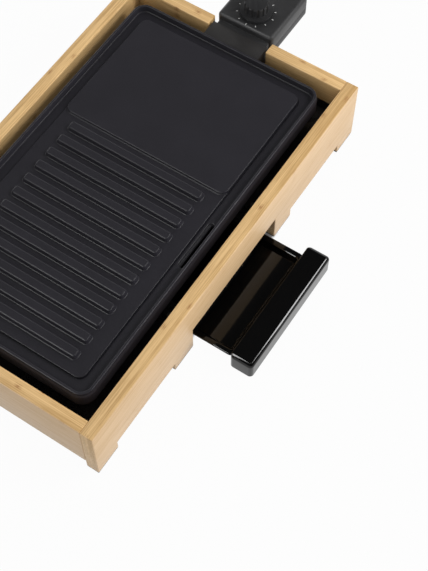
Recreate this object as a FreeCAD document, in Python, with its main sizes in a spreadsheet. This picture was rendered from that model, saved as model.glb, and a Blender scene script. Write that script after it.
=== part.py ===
"""Electric table grill: bamboo frame, ribbed plate, drip tray and plug-in temperature control.

X runs along the grill, the front with the drip tray faces -Y, and Z is up. The origin is on the table,
under the middle of the frame. All sizes are in millimetres.
"""
import FreeCAD, Part
import math
import os
import re

import Sketcher
from FreeCAD import Placement, Rotation, Vector

DIMENSIONS = {
    # bamboo frame
    "frame_length": 502.0,
    "frame_depth": 302.0,
    "frame_top": 85.0,
    "rail_wall": 15.0,
    "rail_round": 1.0,
    "foot_lift": 14.0,
    "foot_length": 34.0,
    "pad_height": 2.0,
    "pad_inset": 0.5,
    "notch_side": 7.5,
    "notch_top": 37.0,
    "dowel_radius": 4.0,
    "dowel_in_rail": 9.0,
    "dowel_in_side": 24.0,
    "dowel_edge": 17.0,
    # base pan and what stands on it
    "sheet_wall": 1.0,
    "pan_floor": 40.0,
    "pan_flange": 13.0,
    "pan_screw_height": 8.0,
    "pan_screw_inset_x": 76.0,
    "pan_screw_inset_y": 56.0,
    "window_depth": 42.0,
    "window_margin": 4.0,
    "post_inset_x": 32.0,
    "post_inset_y": 22.0,
    "post_radius": 8.0,
    "cap_radius": 9.0,
    "cap_height": 2.0,
    "reflector_gap_x": 25.0,
    "reflector_gap_y": 20.0,
    # drip tray, its handle and its runners
    "tray_width": 146.0,
    "tray_length": 120.0,
    "tray_rim": 11.0,
    "tray_bottom": 1.5,
    "tray_wall": 2.0,
    "rim_width": 7.0,
    "front_rim": 6.5,
    "rim_wall": 2.0,
    "tray_corner": 6.0,
    "tray_draw": 59.0,
    "handle_side": 1.0,
    "handle_depth": 27.5,
    "handle_low": 2.0,
    "handle_room": 11.0,
    "handle_wall": 3.0,
    "handle_round": 4.5,
    "handle_end_round": 8.0,
    "handle_screw_x": 45.0,
    "runner_setback": 2.0,
    "runner_stop_play": 0.8,
    "runner_wall": 1.2,
    "runner_ledge": 5.0,
    "runner_tab": 13.0,
    "runner_play": 0.3,
    "rivet_radius": 1.6,
    "rivet_head": 3.0,
    "rivet_head_height": 1.0,
    # grill plate
    "plate_gap": 14.0,
    "plate_corner": 16.0,
    "lip_rise": 2.0,
    "lip_width": 3.0,
    "lip_round": 0.9,
    "gutter_width": 14.5,
    "gutter_drop": 3.0,
    "floor_drop": 5.0,
    "plate_wall": 3.0,
    "skirt_wall": 3.5,
    "skirt_drop": 11.0,
    "boss_radius": 9.0,
    "boss_drop": 5.0,
    "flat_length": 155.5,
    "flat_rise": 2.5,
    "flat_corner": 9.0,
    "rib_pitch": 20.0,
    "rib_from_flat": 14.0,
    "rib_margin": 12.0,
    "rib_end_gap": 18.0,
    "rib_top_width": 9.2,
    "rib_height": 5.0,
    "rib_draft": 17.0,
    "rib_corner": 4.0,
    "drain_x": -14.5,
    "drain_length": 63.0,
    "drain_width": 8.5,
    "spout_wall": 1.5,
    "spout_drop": 6.0,
    # heater and its terminals
    "element_radius": 4.0,
    "element_inset_x": 57.0,
    "element_inset_y": 52.0,
    "element_bend": 18.0,
    "element_end_inset": 22.0,
    "terminal_y": 13.0,
    "clamp_from_end": 70.0,
    "clamp_length": 12.0,
    "clamp_width": 30.0,
    "clamp_wall": 1.8,
    "pin_radius": 2.0,
    "pin_reach": 16.0,
    "bush_radius": 4.0,
    "bush_inside": 3.0,
    "bush_flange": 6.0,
    "bush_flange_wall": 1.5,
    "socket_radius": 4.2,
    "socket_bore": 3.3,
    "socket_depth": 70.0,
    "seat_play": 0.2,
    "shroud_half_y": 36.0,
    "shroud_half_z": 12.0,
    "shroud_wall": 2.5,
    "shroud_reach": 22.0,
    "shroud_screw_y": 25.0,
    "inlet_notch_play": 2.5,
    # plug-in control
    "plug_play": 0.7,
    "shell_wall": 2.5,
    "housing_gap": 1.5,
    "housing_length": 80.0,
    "housing_half_y": 37.0,
    "housing_low": 14.0,
    "housing_high": 18.0,
    "housing_round": 5.0,
    "post_inset": 9.5,
    "shell_post_radius": 4.0,
    "block_setback": 8.0,
    "block_length": 34.0,
    "block_half_y": 18.0,
    "block_rise": 10.0,
    "sleeve_radius": 3.6,
    "sleeve_bore": 2.3,
    "probe_radius": 3.0,
    "probe_clearance": 4.0,
    "lens_radius": 3.5,
    "lens_flange": 5.0,
    "lens_flange_wall": 1.5,
    "lens_rise": 1.4,
    "lamp_radius": 2.4,
    "lamp_length": 9.0,
    "bushing_radius": 5.0,
    "bushing_flange": 7.5,
    "bushing_bore": 3.3,
    "bushing_reach": 4.0,
    "shaft_radius": 3.0,
    "shaft_play": 0.08,
    "shaft_in_block": 6.0,
    "shaft_in_knob": 8.0,
    "knob_gap": 0.5,
    "knob_radius": 19.0,
    "knob_skirt": 4.0,
    "grip_radius": 14.0,
    "grip_height": 12.0,
    "flute_count": 14,
    "flute_radius": 1.6,
    "pointer_width": 2.0,
    "pointer_rise": 0.8,
    # fasteners shared by all sub-parts
    "screw_shank": 1.5,
    "screw_head": 2.8,
    "screw_head_height": 1.6,
    "screw_grip": 7.0,
    "hole_play": 0.1,
}

# Places and levels that follow from the driving dimensions.
DERIVED = {
    "inner_x": "frame_length / 2 - rail_wall",
    "inner_y": "frame_depth / 2 - rail_wall",
    "side_centre": "frame_length / 2 - rail_wall / 2",
    "dowel_low": "foot_lift + dowel_edge",
    "dowel_high": "frame_top - dowel_edge",
    "notch_width": "tray_width + 2 * notch_side",
    "pan_top": "pan_floor + sheet_wall",
    "pan_screw_x": "inner_x - pan_screw_inset_x",
    "pan_screw_y": "inner_y - pan_screw_inset_y",
    "window_front": "-inner_y + window_margin",
    "handle_back": "-inner_y - tray_draw",
    "handle_front": "handle_back - handle_depth",
    "handle_half": "notch_width / 2 - handle_side",
    "handle_high": "notch_top - handle_room",
    "tray_rear": "handle_back + tray_length",
    "tub_half_x": "tray_width / 2 - rim_width",
    "tub_front": "handle_back + front_rim",
    "tub_rear": "tray_rear - rim_width",
    "runner_face": "tray_width / 2 + runner_play",
    "runner_front": "-inner_y + runner_setback",
    "runner_rear": "-inner_y + tray_length + runner_stop_play + runner_wall",
    "rim_under": "tray_rim - rim_wall",
    "ledge_top": "rim_under - runner_play",
    "guide_under": "tray_rim + runner_play",
    "plate_half_x": "inner_x - plate_gap",
    "plate_half_y": "inner_y - plate_gap",
    "basin_half_x": "plate_half_x - lip_width",
    "basin_half_y": "plate_half_y - lip_width",
    "island_half_x": "basin_half_x - gutter_width",
    "island_half_y": "basin_half_y - gutter_width",
    "post_x": "plate_half_x - post_inset_x",
    "post_y": "plate_half_y - post_inset_y",
    "lip_level": "frame_top + lip_rise",
    "floor_level": "lip_level - floor_drop",
    "gutter_level": "floor_level - gutter_drop",
    "underside": "gutter_level - plate_wall",
    "skirt_bottom": "underside - skirt_drop",
    "boss_bottom": "underside - boss_drop",
    "drain_y": "-basin_half_y + gutter_width / 2",
    "flat_edge": "island_half_x - flat_length",
    "rib_first": "flat_edge - rib_from_flat",
    "rib_length": "2 * (island_half_y - rib_end_gap)",
    "rib_count": "floor((rib_first + island_half_x - rib_margin) / rib_pitch) + 1",
    "plug_z": "underside - socket_radius - seat_play",
    "element_reach": "plate_half_x - element_inset_x",
    "element_half_width": "plate_half_y - element_inset_y",
    "element_end": "plate_half_x - element_end_inset",
    "clamp_x": "element_reach - clamp_from_end",
    "clamp_low": "plug_z - element_radius - hole_play - clamp_wall",
    "reflector_roof": "(pan_top + clamp_low - screw_head_height) / 2",
    "shroud_back": "plate_half_x + shroud_wall",
    "pin_end": "shroud_back + pin_reach",
    "nose_front": "shroud_back + screw_head_height + plug_play",
    "nose_half_y": "shroud_half_y - shroud_wall - plug_play",
    "nose_half_z": "shroud_half_z - shroud_wall - plug_play",
    "housing_front": "frame_length / 2 + housing_gap",
    "housing_end": "housing_front + housing_length",
    "housing_bottom": "plug_z - housing_low",
    "housing_top": "plug_z + housing_high",
    "block_front": "housing_front + block_setback",
    "block_top": "plug_z + block_rise",
    "knob_x": "block_front + block_length / 2",
    "knob_low": "housing_top + knob_gap",
    "lens_x": "(knob_x + knob_radius + housing_end) / 2",
    "lens_under": "housing_top - shell_wall - lens_flange_wall",
}

DIRECTIONS = {
    "+x": Rotation(Vector(0, 0, 1), Vector(1, 0, 0)),
    "-x": Rotation(Vector(0, 0, 1), Vector(-1, 0, 0)),
    "+y": Rotation(Vector(0, 0, 1), Vector(0, 1, 0)),
    "-y": Rotation(Vector(0, 0, 1), Vector(0, -1, 0)),
    "+z": Rotation(),
    "-z": Rotation(Vector(1, 0, 0), 180),
}
OPPOSITE = {"+": "-", "-": "+"}
SIDES = (-1, 1)
TOLERANCE = 1e-4

doc = FreeCAD.newDocument("TableGrill")
sheet = doc.addObject("Spreadsheet::Sheet", "Dims")
for row, (alias, size) in enumerate(DIMENSIONS.items(), start=1):
    sheet.set(f"A{row}", alias)
    sheet.set(f"B{row}", str(size))
    sheet.setAlias(f"B{row}", alias)
doc.recompute()
nodes = []


def formula(text):
    """Write a size in plain words as an expression on the sheet's cells."""

    def expand(match):
        word = match.group(0)
        if word in DERIVED:
            return f"({formula(DERIVED[word])})"
        return f"Dims.{word}" if word in DIMENSIONS else word

    return re.sub(r"[a-z_]+", expand, text)


def value(text):
    """The present number of a size, in millimetres."""
    return float(sheet.evalExpression(formula(text)))


def bind(item, **sizes):
    """Bind properties of a document object to the sheet."""
    for name, text in sizes.items():
        item.setExpression(name, formula(text))


def place(item, at, direction="+z"):
    """Put an object at a bound position, with its own Z turned to a direction."""
    item.Placement = Placement(Vector(), DIRECTIONS[direction])
    for axis, text in zip("xyz", at):
        item.setExpression(f"Placement.Base.{axis}", formula(text))


def box(name, low, high):
    """A box between two bound corners."""
    item = doc.addObject("Part::Box", name)
    spans = [f"({h}) - ({l})" for l, h in zip(low, high)]
    bind(item, Length=spans[0], Width=spans[1], Height=spans[2])
    place(item, low)
    return item


def cylinder(name, radius, height, at, direction="+z"):
    """A cylinder that starts at a bound point and runs in a direction."""
    item = doc.addObject("Part::Cylinder", name)
    bind(item, Radius=radius, Height=height)
    place(item, at, direction)
    return item


def fuse(name, parts):
    item = doc.addObject("Part::MultiFuse", name)
    item.Shapes = parts
    return item


def group(name, parts):
    item = doc.addObject("Part::Compound", name)
    item.Links = parts
    return item


def cut(name, base, tool):
    item = doc.addObject("Part::Cut", name)
    item.Base = base
    item.Tool = tool
    return item


def rounded(name, base, radius, pick):
    """Round the edges of a Part object that a test picks."""
    doc.recompute()
    size = value(radius)
    item = doc.addObject("Part::Fillet", name)
    item.Base = base
    item.Edges = [(i, size, size) for i, e in enumerate(base.Shape.Edges, start=1) if pick(e)]
    return item


def drills(name, places, radius, depth, direction):
    """Cylinders that cut a set of equal holes, each from its mouth into the piece."""
    return [cylinder(f"{name}{i}", radius, depth, at, direction) for i, at in enumerate(places)]


def screws(name, places, direction, grip="screw_grip"):
    """Equal screws: each head sits on its place and its shank runs in the direction."""
    away = OPPOSITE[direction[0]] + direction[1]
    made = []
    for i, at in enumerate(places):
        head = cylinder(f"{name}_head{i}", "screw_head", "screw_head_height", at, away)
        shank = cylinder(f"{name}_shank{i}", "screw_shank", grip, at, direction)
        made.append(fuse(f"{name}_screw{i}", [head, shank]))
    return made


def node(label, item):
    """Keep an object as a sub-part under its own label."""
    item.Label = label
    nodes.append(item)
    return item


def near(a, b):
    return abs(a - b) < TOLERANCE


def runs_along(edge, axis):
    """True for a straight edge along x, y or z."""
    if not isinstance(edge.Curve, Part.Line):
        return False
    return near(abs(getattr(edge.Curve.Direction, axis)), 1.0)


# Sketch helpers for the cast and moulded pieces.

def sketch(body, name, level):
    """A sketch on the body's XY plane, lifted to a bound level."""
    item = body.newObject("Sketcher::SketchObject", name)
    ground = next(f for f in body.Origin.OriginFeatures if f.Role == "XY_Plane")
    item.AttachmentSupport = [(ground, "")]
    item.MapMode = "FlatFace"
    item.setExpression("AttachmentOffset.Base.z", formula(level))
    return item


def fix_point(item, curve, end, at):
    """Hold a sketch point at bound coordinates."""
    for kind, text in zip(("DistanceX", "DistanceY"), at):
        index = item.addConstraint(Sketcher.Constraint(kind, -1, 1, curve, end, value(text)))
        item.setExpression(f"Constraints[{index}]", formula(text))


def rectangle(item, left, right, low, high):
    corners = [(left, low), (right, low), (right, high), (left, high)]
    points = [Vector(value(x), value(y), 0) for x, y in corners]
    count = len(corners)
    for i in range(count):
        item.addGeometry(Part.LineSegment(points[i], points[(i + 1) % count]))
    for i, at in enumerate(corners):
        item.addConstraint(Sketcher.Constraint("Coincident", i, 2, (i + 1) % count, 1))
        fix_point(item, i, 1, at)


def circle(item, at, radius):
    centre = Vector(value(at[0]), value(at[1]), 0)
    curve = item.addGeometry(Part.Circle(centre, Vector(0, 0, 1), value(radius)))
    index = item.addConstraint(Sketcher.Constraint("Radius", curve, value(radius)))
    item.setExpression(f"Constraints[{index}]", formula(radius))
    fix_point(item, curve, 3, at)


def loop(item, centres, radius):
    """Arcs of one radius about bound centres, each a turn to the left, joined by straight sides."""
    size = value(radius)
    points = [Vector(value(x), value(y), 0) for x, y in centres]
    count = len(points)
    following = points[1:] + points[:1]
    ways = [math.atan2(b.y - a.y, b.x - a.x) for a, b in zip(points, following)]
    for i, point in enumerate(points):
        turn = (ways[i] - ways[i - 1]) % (2 * math.pi)
        start = ways[i - 1] - math.pi / 2
        item.addGeometry(Part.ArcOfCircle(Part.Circle(point, Vector(0, 0, 1), size), start, start + turn))
    for a, b, way in zip(points, following, ways):
        side = Vector(math.sin(way), -math.cos(way), 0) * size
        item.addGeometry(Part.LineSegment(a + side, b + side))
    for i, at in enumerate(centres):
        item.addConstraint(Sketcher.Constraint("Tangent", i, 2, count + i, 1))
        item.addConstraint(Sketcher.Constraint("Tangent", count + i, 2, (i + 1) % count, 1))
        fix_point(item, i, 3, at)
    for i in range(1, count):
        item.addConstraint(Sketcher.Constraint("Equal", 0, i))
    index = item.addConstraint(Sketcher.Constraint("Radius", 0, size))
    item.setExpression(f"Constraints[{index}]", formula(radius))


def pad(body, name, profile, length, reverse=False):
    item = body.newObject("PartDesign::Pad", name)
    item.Profile = profile
    item.Reversed = reverse
    bind(item, Length=length)
    return item


def pocket(body, name, profile, depth, upwards=False):
    """Cut a profile out of the body and make sure that it took something away."""
    doc.recompute()
    before = body.Shape.Volume
    item = body.newObject("PartDesign::Pocket", name)
    item.Profile = profile
    item.Reversed = upwards
    bind(item, Length=depth)
    doc.recompute()
    if body.Shape.Volume >= before - TOLERANCE:
        raise ValueError(f"{name} cuts nothing")
    return item


def round_body(body, name, radius, pick):
    """Round the edges of the body's last feature that a test picks."""
    doc.recompute()
    last = body.Tip
    names = [f"Edge{i}" for i, e in enumerate(last.Shape.Edges, start=1) if pick(e)]
    item = body.newObject("PartDesign::Fillet", name)
    item.Base = (last, names)
    bind(item, Radius=radius)
    return item


def upright_at(half_x, half_y):
    """A test for the upright edges at the four corners of a centred rectangle."""
    x, y = value(half_x), value(half_y)
    return lambda e: (runs_along(e, "z") and near(abs(e.CenterOfMass.x), x)
                      and near(abs(e.CenterOfMass.y), y))


# Where the fasteners sit; every piece that a fastener passes takes its holes from these lists.

FRONT_REAR_SCREWS = {
    s: [(f"{sx} * pan_screw_x", f"{s} * (inner_y - sheet_wall)", "pan_floor + pan_screw_height")
        for sx in SIDES] for s in SIDES}
END_SCREWS = {
    s: [(f"{s} * (inner_x - sheet_wall)", f"{sy} * pan_screw_y", "pan_floor + pan_screw_height")
        for sy in SIDES] for s in SIDES}
POST_PLACES = [(f"{sx} * post_x", f"{sy} * post_y") for sx in SIDES for sy in SIDES]
DOWEL_PLACES = {
    s: [(f"{sx} * side_centre", f"{s} * inner_y", level)
        for sx in SIDES for level in ("dowel_low", "dowel_high")] for s in SIDES}
RIVET_SHARES = (0.1, 0.5, 0.9)
RIVET_PLACES = {
    s: [(f"{s} * (runner_face + runner_wall + runner_tab / 2)",
         f"runner_front + (runner_rear - runner_front) * {share}")
        for share in RIVET_SHARES] for s in SIDES}
CLAMP_PLACES = [(f"{sx} * clamp_x", f"{sy} * element_half_width") for sx in SIDES for sy in SIDES]
CLAMP_SCREWS = [(x, f"{y} + {s} * (clamp_width / 2 - screw_head - clamp_wall)")
                for x, y in CLAMP_PLACES for s in SIDES]
SHELL_POSTS = [(x, f"{s} * (housing_half_y - post_inset)")
               for x in ("housing_front + post_inset", "housing_end - post_inset") for s in SIDES]
HANDLE_SCREWS = [(f"{s} * handle_screw_x", "handle_back + tray_wall", "(tray_bottom + rim_under) / 2")
                 for s in SIDES]
SHROUD_SCREWS = [("shroud_back", f"{s} * shroud_screw_y", "plug_z") for s in SIDES]
TERMINALS = [f"{s} * terminal_y" for s in SIDES]
FOOT_STARTS = ["-frame_length / 2", "-notch_width / 2 - foot_length", "notch_width / 2",
               "frame_length / 2 - foot_length"]
OVERCUT = "rail_wall"


def sign(side):
    """The sign of a side, as the directions spell it."""
    return "+" if side > 0 else "-"


def long_rail(label, side):
    """Front or rear board with its feet; the front one has the tray's notch."""
    outer, inner = f"{side} * frame_depth / 2", f"{side} * inner_y"
    low_y, high_y = (outer, inner) if side < 0 else (inner, outer)
    blank = box(f"{label}_blank", ("-frame_length / 2", low_y, "pad_height"),
                ("frame_length / 2", high_y, "frame_top"))
    outer_y, top = value(outer), value("frame_top")

    def pick(edge):
        centre = edge.CenterOfMass
        lengthwise = runs_along(edge, "x") and near(centre.z, top)
        corner = runs_along(edge, "z") and near(centre.y, outer_y)
        return lengthwise or corner

    board = rounded(f"{label}_board", blank, "rail_round", pick)
    gaps = [(f"{a} + foot_length", b) for a, b in zip(FOOT_STARTS, FOOT_STARTS[1:])]
    tops = ["foot_lift", "notch_top" if side < 0 else "foot_lift", "foot_lift"]
    tools = [box(f"{label}_gap{i}", (a, f"{low_y} - {OVERCUT}", f"pad_height - {OVERCUT}"),
                 (b, f"{high_y} + {OVERCUT}", level))
             for i, ((a, b), level) in enumerate(zip(gaps, tops))]
    way = sign(side) + "y"
    tools += drills(f"{label}_dowel", DOWEL_PLACES[side], "dowel_radius + hole_play", "dowel_in_rail", way)
    tools += drills(f"{label}_screw", FRONT_REAR_SCREWS[side], "screw_shank + hole_play",
                    "screw_grip + sheet_wall", way)
    return node(label, cut(f"{label}_cut", board, group(f"{label}_tools", tools)))


def side_rail(label, side):
    """End board between the long rails; the right one opens upwards for the plug-in control."""
    outer, inner = f"{side} * frame_length / 2", f"{side} * inner_x"
    low_x, high_x = (outer, inner) if side < 0 else (inner, outer)
    blank = box(f"{label}_blank", (low_x, "-inner_y", "foot_lift"), (high_x, "inner_y", "frame_top"))
    top = value("frame_top")
    board = rounded(f"{label}_board", blank, "rail_round",
                    lambda e: runs_along(e, "y") and near(e.CenterOfMass.z, top))
    tools = []
    for end in SIDES:
        places = [at for at in DOWEL_PLACES[end] if at[0].startswith(f"{side} ")]
        inward = OPPOSITE[sign(end)] + "y"
        tools += drills(f"{label}_dowel{end + 1}", places, "dowel_radius + hole_play", "dowel_in_side",
                        inward)
    tools += drills(f"{label}_screw", END_SCREWS[side], "screw_shank + hole_play", "screw_grip + sheet_wall",
                    sign(side) + "x")
    if side > 0:
        half = "shroud_half_y + inlet_notch_play"
        tools.append(box(f"{label}_inlet", (f"{low_x} - {OVERCUT}", f"-({half})",
                                            "plug_z - shroud_half_z - inlet_notch_play"),
                         (f"{high_x} + {OVERCUT}", half, f"frame_top + {OVERCUT}")))
    return node(label, cut(f"{label}_cut", board, group(f"{label}_tools", tools)))


def frame_fittings():
    """Dowels in the corners and pads under the feet."""
    dowels = []
    for side in SIDES:
        inward = OPPOSITE[sign(side)] + "y"
        for i, (x, y, z) in enumerate(DOWEL_PLACES[side]):
            start = (x, f"{y} + {side} * dowel_in_rail", z)
            dowels.append(cylinder(f"dowel{side + 1}{i}", "dowel_radius", "dowel_in_rail + dowel_in_side",
                                   start, inward))
    node("corner_dowels", group("dowel_group", dowels))
    pads = []
    for side in SIDES:
        edges = sorted((f"{side} * inner_y", f"{side} * frame_depth / 2"), key=value)
        for i, start in enumerate(FOOT_STARTS):
            pads.append(box(f"pad{side + 1}{i}", (f"{start} + pad_inset", f"{edges[0]} + pad_inset", "0"),
                            (f"{start} + foot_length - pad_inset", f"{edges[1]} - pad_inset", "pad_height")))
    node("foot_pads", group("pad_group", pads))


def base_pan():
    """Sheet pan inside the frame, with a window over the drip tray."""
    outer = box("pan_outer", ("-inner_x", "-inner_y", "pan_floor"),
                ("inner_x", "inner_y", "pan_floor + pan_flange"))
    inner = box("pan_inner", ("-inner_x + sheet_wall", "-inner_y + sheet_wall", "pan_top"),
                ("inner_x - sheet_wall", "inner_y - sheet_wall", "pan_floor + 2 * pan_flange"))
    window = box("pan_window", ("-tub_half_x", "window_front", f"pan_floor - {OVERCUT}"),
                 ("tub_half_x", "window_front + window_depth", f"pan_top + {OVERCUT}"))
    tools = [inner, window]
    hole = "screw_shank + hole_play"
    made = []
    for side in SIDES:
        for places, way in ((FRONT_REAR_SCREWS[side], sign(side) + "y"),
                            (END_SCREWS[side], sign(side) + "x")):
            tools += drills(f"pan_hole_{way[1]}{side + 1}", places, hole, "2 * sheet_wall", way)
            made += screws(f"pan_{way[1]}{side + 1}", places, way)
        rivets = [(x, y, "pan_floor") for x, y in RIVET_PLACES[side]]
        tools += drills(f"pan_rivet{side + 1}", rivets, "rivet_radius + hole_play", "sheet_wall", "+z")
    posts = [(x, y, "pan_floor") for x, y in POST_PLACES]
    tools += drills("pan_post", posts, hole, "sheet_wall", "+z")
    node("base_pan", cut("pan_cut", outer, group("pan_tools", tools)))
    node("pan_screws", group("pan_screw_group", made))


def supports():
    """Posts with soft caps that carry the plate, screwed on from below."""
    seats = [(x, y, "pan_top") for x, y in POST_PLACES]
    posts = []
    for i, at in enumerate(seats):
        body = cylinder(f"post{i}", "post_radius", "boss_bottom - cap_height - pan_top", at)
        bore = cylinder(f"post_bore{i}", "screw_shank + hole_play", "screw_grip", at)
        posts.append(cut(f"post_cut{i}", body, bore))
    node("support_posts", group("post_group", posts))
    caps = [cylinder(f"cap{i}", "cap_radius", "cap_height", (x, y, "boss_bottom - cap_height"))
            for i, (x, y) in enumerate(POST_PLACES)]
    node("post_caps", group("cap_group", caps))
    heads = [(x, y, "pan_floor") for x, y in POST_PLACES]
    node("post_screws", group("post_screw_group", screws("post", heads, "+z")))


def heat_reflector():
    """Bright sheet on two folded legs, between the heater and the pan."""
    half_x, half_y = "(post_x - reflector_gap_x)", "(post_y - reflector_gap_y)"
    sheets = [box("reflector_sheet_roof", (f"-{half_x}", f"-{half_y}", "reflector_roof"),
                  (half_x, half_y, "reflector_roof + sheet_wall"))]
    for side in SIDES:
        edges = sorted((f"{side} * {half_y}", f"{side} * ({half_y} - sheet_wall)"), key=value)
        sheets.append(box(f"reflector_leg{side + 1}", (f"-{half_x}", edges[0], "pan_top"),
                          (half_x, edges[1], "reflector_roof")))
    node("heat_reflector", fuse("reflector_sheet", sheets))


def tray_runner(label, side):
    """Folded channel that hangs from the pan and carries one rim of the drip tray."""

    def slab(name, near_x, far_x, low, high, front="runner_front", rear="runner_rear"):
        edges = sorted((f"{side} * ({near_x})", f"{side} * ({far_x})"), key=value)
        return box(f"{label}_{name}", (edges[0], front, low), (edges[1], rear, high))

    inside, web = "runner_face - runner_ledge", "runner_face + runner_wall"
    under = "ledge_top - runner_wall"
    stop = "runner_rear - runner_wall"
    folds = [
        slab("web", "runner_face", web, under, "pan_floor"),
        slab("ledge", inside, "runner_face", under, "ledge_top"),
        slab("guide", inside, "runner_face", "guide_under", "guide_under + runner_wall"),
        slab("stop", inside, "runner_face", "ledge_top", "guide_under", front=stop),
        slab("tab", web, f"{web} + runner_tab", "pan_floor - runner_wall", "pan_floor"),
    ]
    holes = drills(f"{label}_rivet", [(x, y, "pan_floor - runner_wall") for x, y in RIVET_PLACES[side]],
                   "rivet_radius + hole_play", "runner_wall", "+z")
    node(label, cut(f"{label}_cut", fuse(f"{label}_folds", folds), group(f"{label}_holes", holes)))


def runner_rivets():
    made = []
    for side in SIDES:
        for i, (x, y) in enumerate(RIVET_PLACES[side]):
            name = f"rivet{side + 1}{i}"
            low = "pan_floor - runner_wall"
            made.append(fuse(name, [
                cylinder(f"{name}_shank", "rivet_radius", "sheet_wall + runner_wall", (x, y, low)),
                cylinder(f"{name}_low", "rivet_head", "rivet_head_height", (x, y, low), "-z"),
                cylinder(f"{name}_high", "rivet_head", "rivet_head_height", (x, y, "pan_top")),
            ]))
    node("runner_rivets", group("rivet_group", made))


def grill_plate():
    """Cast plate: lip, gutter with drain spout, cooking floor with ribs, flat zone and underside bosses."""
    body = doc.addObject("PartDesign::Body", "plate_body")
    outline = sketch(body, "plate_outline", "skirt_bottom")
    rectangle(outline, "-plate_half_x", "plate_half_x", "-plate_half_y", "plate_half_y")
    pad(body, "plate_block", outline, "lip_level - skirt_bottom")
    basin = sketch(body, "basin_outline", "lip_level")
    rectangle(basin, "-basin_half_x", "basin_half_x", "-basin_half_y", "basin_half_y")
    pocket(body, "basin", basin, "lip_level - gutter_level")
    round_body(body, "basin_corners", "plate_corner - lip_width", upright_at("basin_half_x", "basin_half_y"))
    hollow = sketch(body, "hollow_outline", "skirt_bottom")
    rectangle(hollow, "-plate_half_x + skirt_wall", "plate_half_x - skirt_wall",
              "-plate_half_y + skirt_wall", "plate_half_y - skirt_wall")
    pocket(body, "hollow", hollow, "skirt_drop", upwards=True)
    round_body(body, "hollow_corners", "plate_corner - skirt_wall",
               upright_at("plate_half_x - skirt_wall", "plate_half_y - skirt_wall"))
    round_body(body, "plate_corners", "plate_corner", upright_at("plate_half_x", "plate_half_y"))
    lip_z = value("lip_level")
    round_body(body, "lip_edges", "lip_round", lambda e: near(e.CenterOfMass.z, lip_z))
    island = sketch(body, "island_outline", "gutter_level")
    rectangle(island, "-island_half_x", "island_half_x", "-island_half_y", "island_half_y")
    pad(body, "island", island, "gutter_drop")
    round_body(body, "island_corners", "flat_corner", upright_at("island_half_x", "island_half_y"))
    flat = sketch(body, "flat_outline", "floor_level")
    rectangle(flat, "flat_edge", "island_half_x - flat_corner", "-island_half_y", "island_half_y")
    pad(body, "flat_zone", flat, "flat_rise")
    edge_x = value("flat_edge")
    round_body(body, "flat_corners", "flat_corner",
               lambda e: runs_along(e, "z") and near(e.CenterOfMass.x, edge_x))
    flat_end = sketch(body, "flat_end_outline", "floor_level")
    rectangle(flat_end, "island_half_x - flat_corner", "island_half_x",
              "-island_half_y + flat_corner", "island_half_y - flat_corner")
    pad(body, "flat_end", flat_end, "flat_rise")
    bosses = sketch(body, "boss_outline", "boss_bottom")
    for at in POST_PLACES:
        circle(bosses, at, "boss_radius")
    pad(body, "bosses", bosses, "boss_drop")
    reach = "(drain_length - drain_width) / 2"
    drain_ends = [(f"drain_x - {reach}", "drain_y"), (f"drain_x + {reach}", "drain_y")]
    spout = sketch(body, "spout_outline", "underside - spout_drop")
    loop(spout, drain_ends, "drain_width / 2 + spout_wall")
    pad(body, "spout", spout, "spout_drop")
    drain = sketch(body, "drain_outline", "gutter_level")
    loop(drain, drain_ends, "drain_width / 2")
    pocket(body, "drain", drain, "plate_wall + spout_drop")
    rib = sketch(body, "rib_outline", "floor_level")
    half_x = "(rib_top_width / 2 + rib_height * tan(rib_draft) - rib_corner)"
    half_y = "(rib_length / 2 - rib_corner)"
    loop(rib, [(f"rib_first {sx} {half_x}", f"{sy} {half_y}")
               for sx, sy in (("-", "-"), ("+", "-"), ("+", "+"), ("-", "+"))], "rib_corner")
    first = pad(body, "rib", rib, "rib_height")
    first.setExpression("TaperAngle", formula("-rib_draft"))
    ribs = body.newObject("PartDesign::LinearPattern", "ribs")
    ribs.Originals = [first]
    ribs.Direction = (rib, ["H_Axis"])
    ribs.Reversed = True
    bind(ribs, Length="rib_pitch * (rib_count - 1)", Occurrences="rib_count")
    body.Tip = ribs
    skirt_in = "plate_half_x - 2 * skirt_wall"
    tools = drills("skirt_terminal", [(skirt_in, y, "plug_z") for y in TERMINALS], "bush_radius + hole_play",
                   "3 * skirt_wall", "+x")
    tools += drills("skirt_probe", [(skirt_in, "0", "plug_z")], "socket_radius + hole_play", "3 * skirt_wall",
                    "+x")
    tools += drills("skirt_screw", [("plate_half_x", y, z) for _, y, z in SHROUD_SCREWS],
                    "screw_shank + hole_play", "2 * skirt_wall", "-x")
    tools += drills("clamp_hole", [(x, y, "underside") for x, y in CLAMP_SCREWS], "screw_shank + hole_play",
                    "gutter_drop", "+z")
    node("grill_plate", cut("plate_cut", body, group("plate_tools", tools)))


def heating_element():
    """Heater tube in one ring under the plate, with both ends at the terminals."""
    reach, half, end = value("element_reach"), value("element_half_width"), value("element_end")
    level, bend, gap = value("plug_z"), value("element_bend"), value("terminal_y")
    corners = [Vector(x, y, level) for x, y in (
        (end, -gap), (reach, -gap), (reach, -half), (-reach, -half), (-reach, half), (reach, half),
        (reach, gap), (end, gap))]
    edges = []
    start = corners[0]
    for before, corner, after in zip(corners, corners[1:], corners[2:]):
        inward, outward = (before - corner).normalize(), (after - corner).normalize()
        first, last = corner + inward * bend, corner + outward * bend
        heart = corner + (inward + outward) * bend
        middle = heart + (corner - heart).normalize() * bend
        edges += [Part.LineSegment(start, first).toShape(), Part.Arc(first, middle, last).toShape()]
        start = last
    edges.append(Part.LineSegment(start, corners[-1]).toShape())
    section = Part.Wire(Part.makeCircle(value("element_radius"), corners[0], Vector(1, 0, 0)))
    tube = doc.addObject("Part::Feature", "element_tube")
    tube.Shape = Part.Wire(edges).makePipeShell([section], True, False)
    tube.Placement = Placement()
    node("heating_element", tube)


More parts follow.
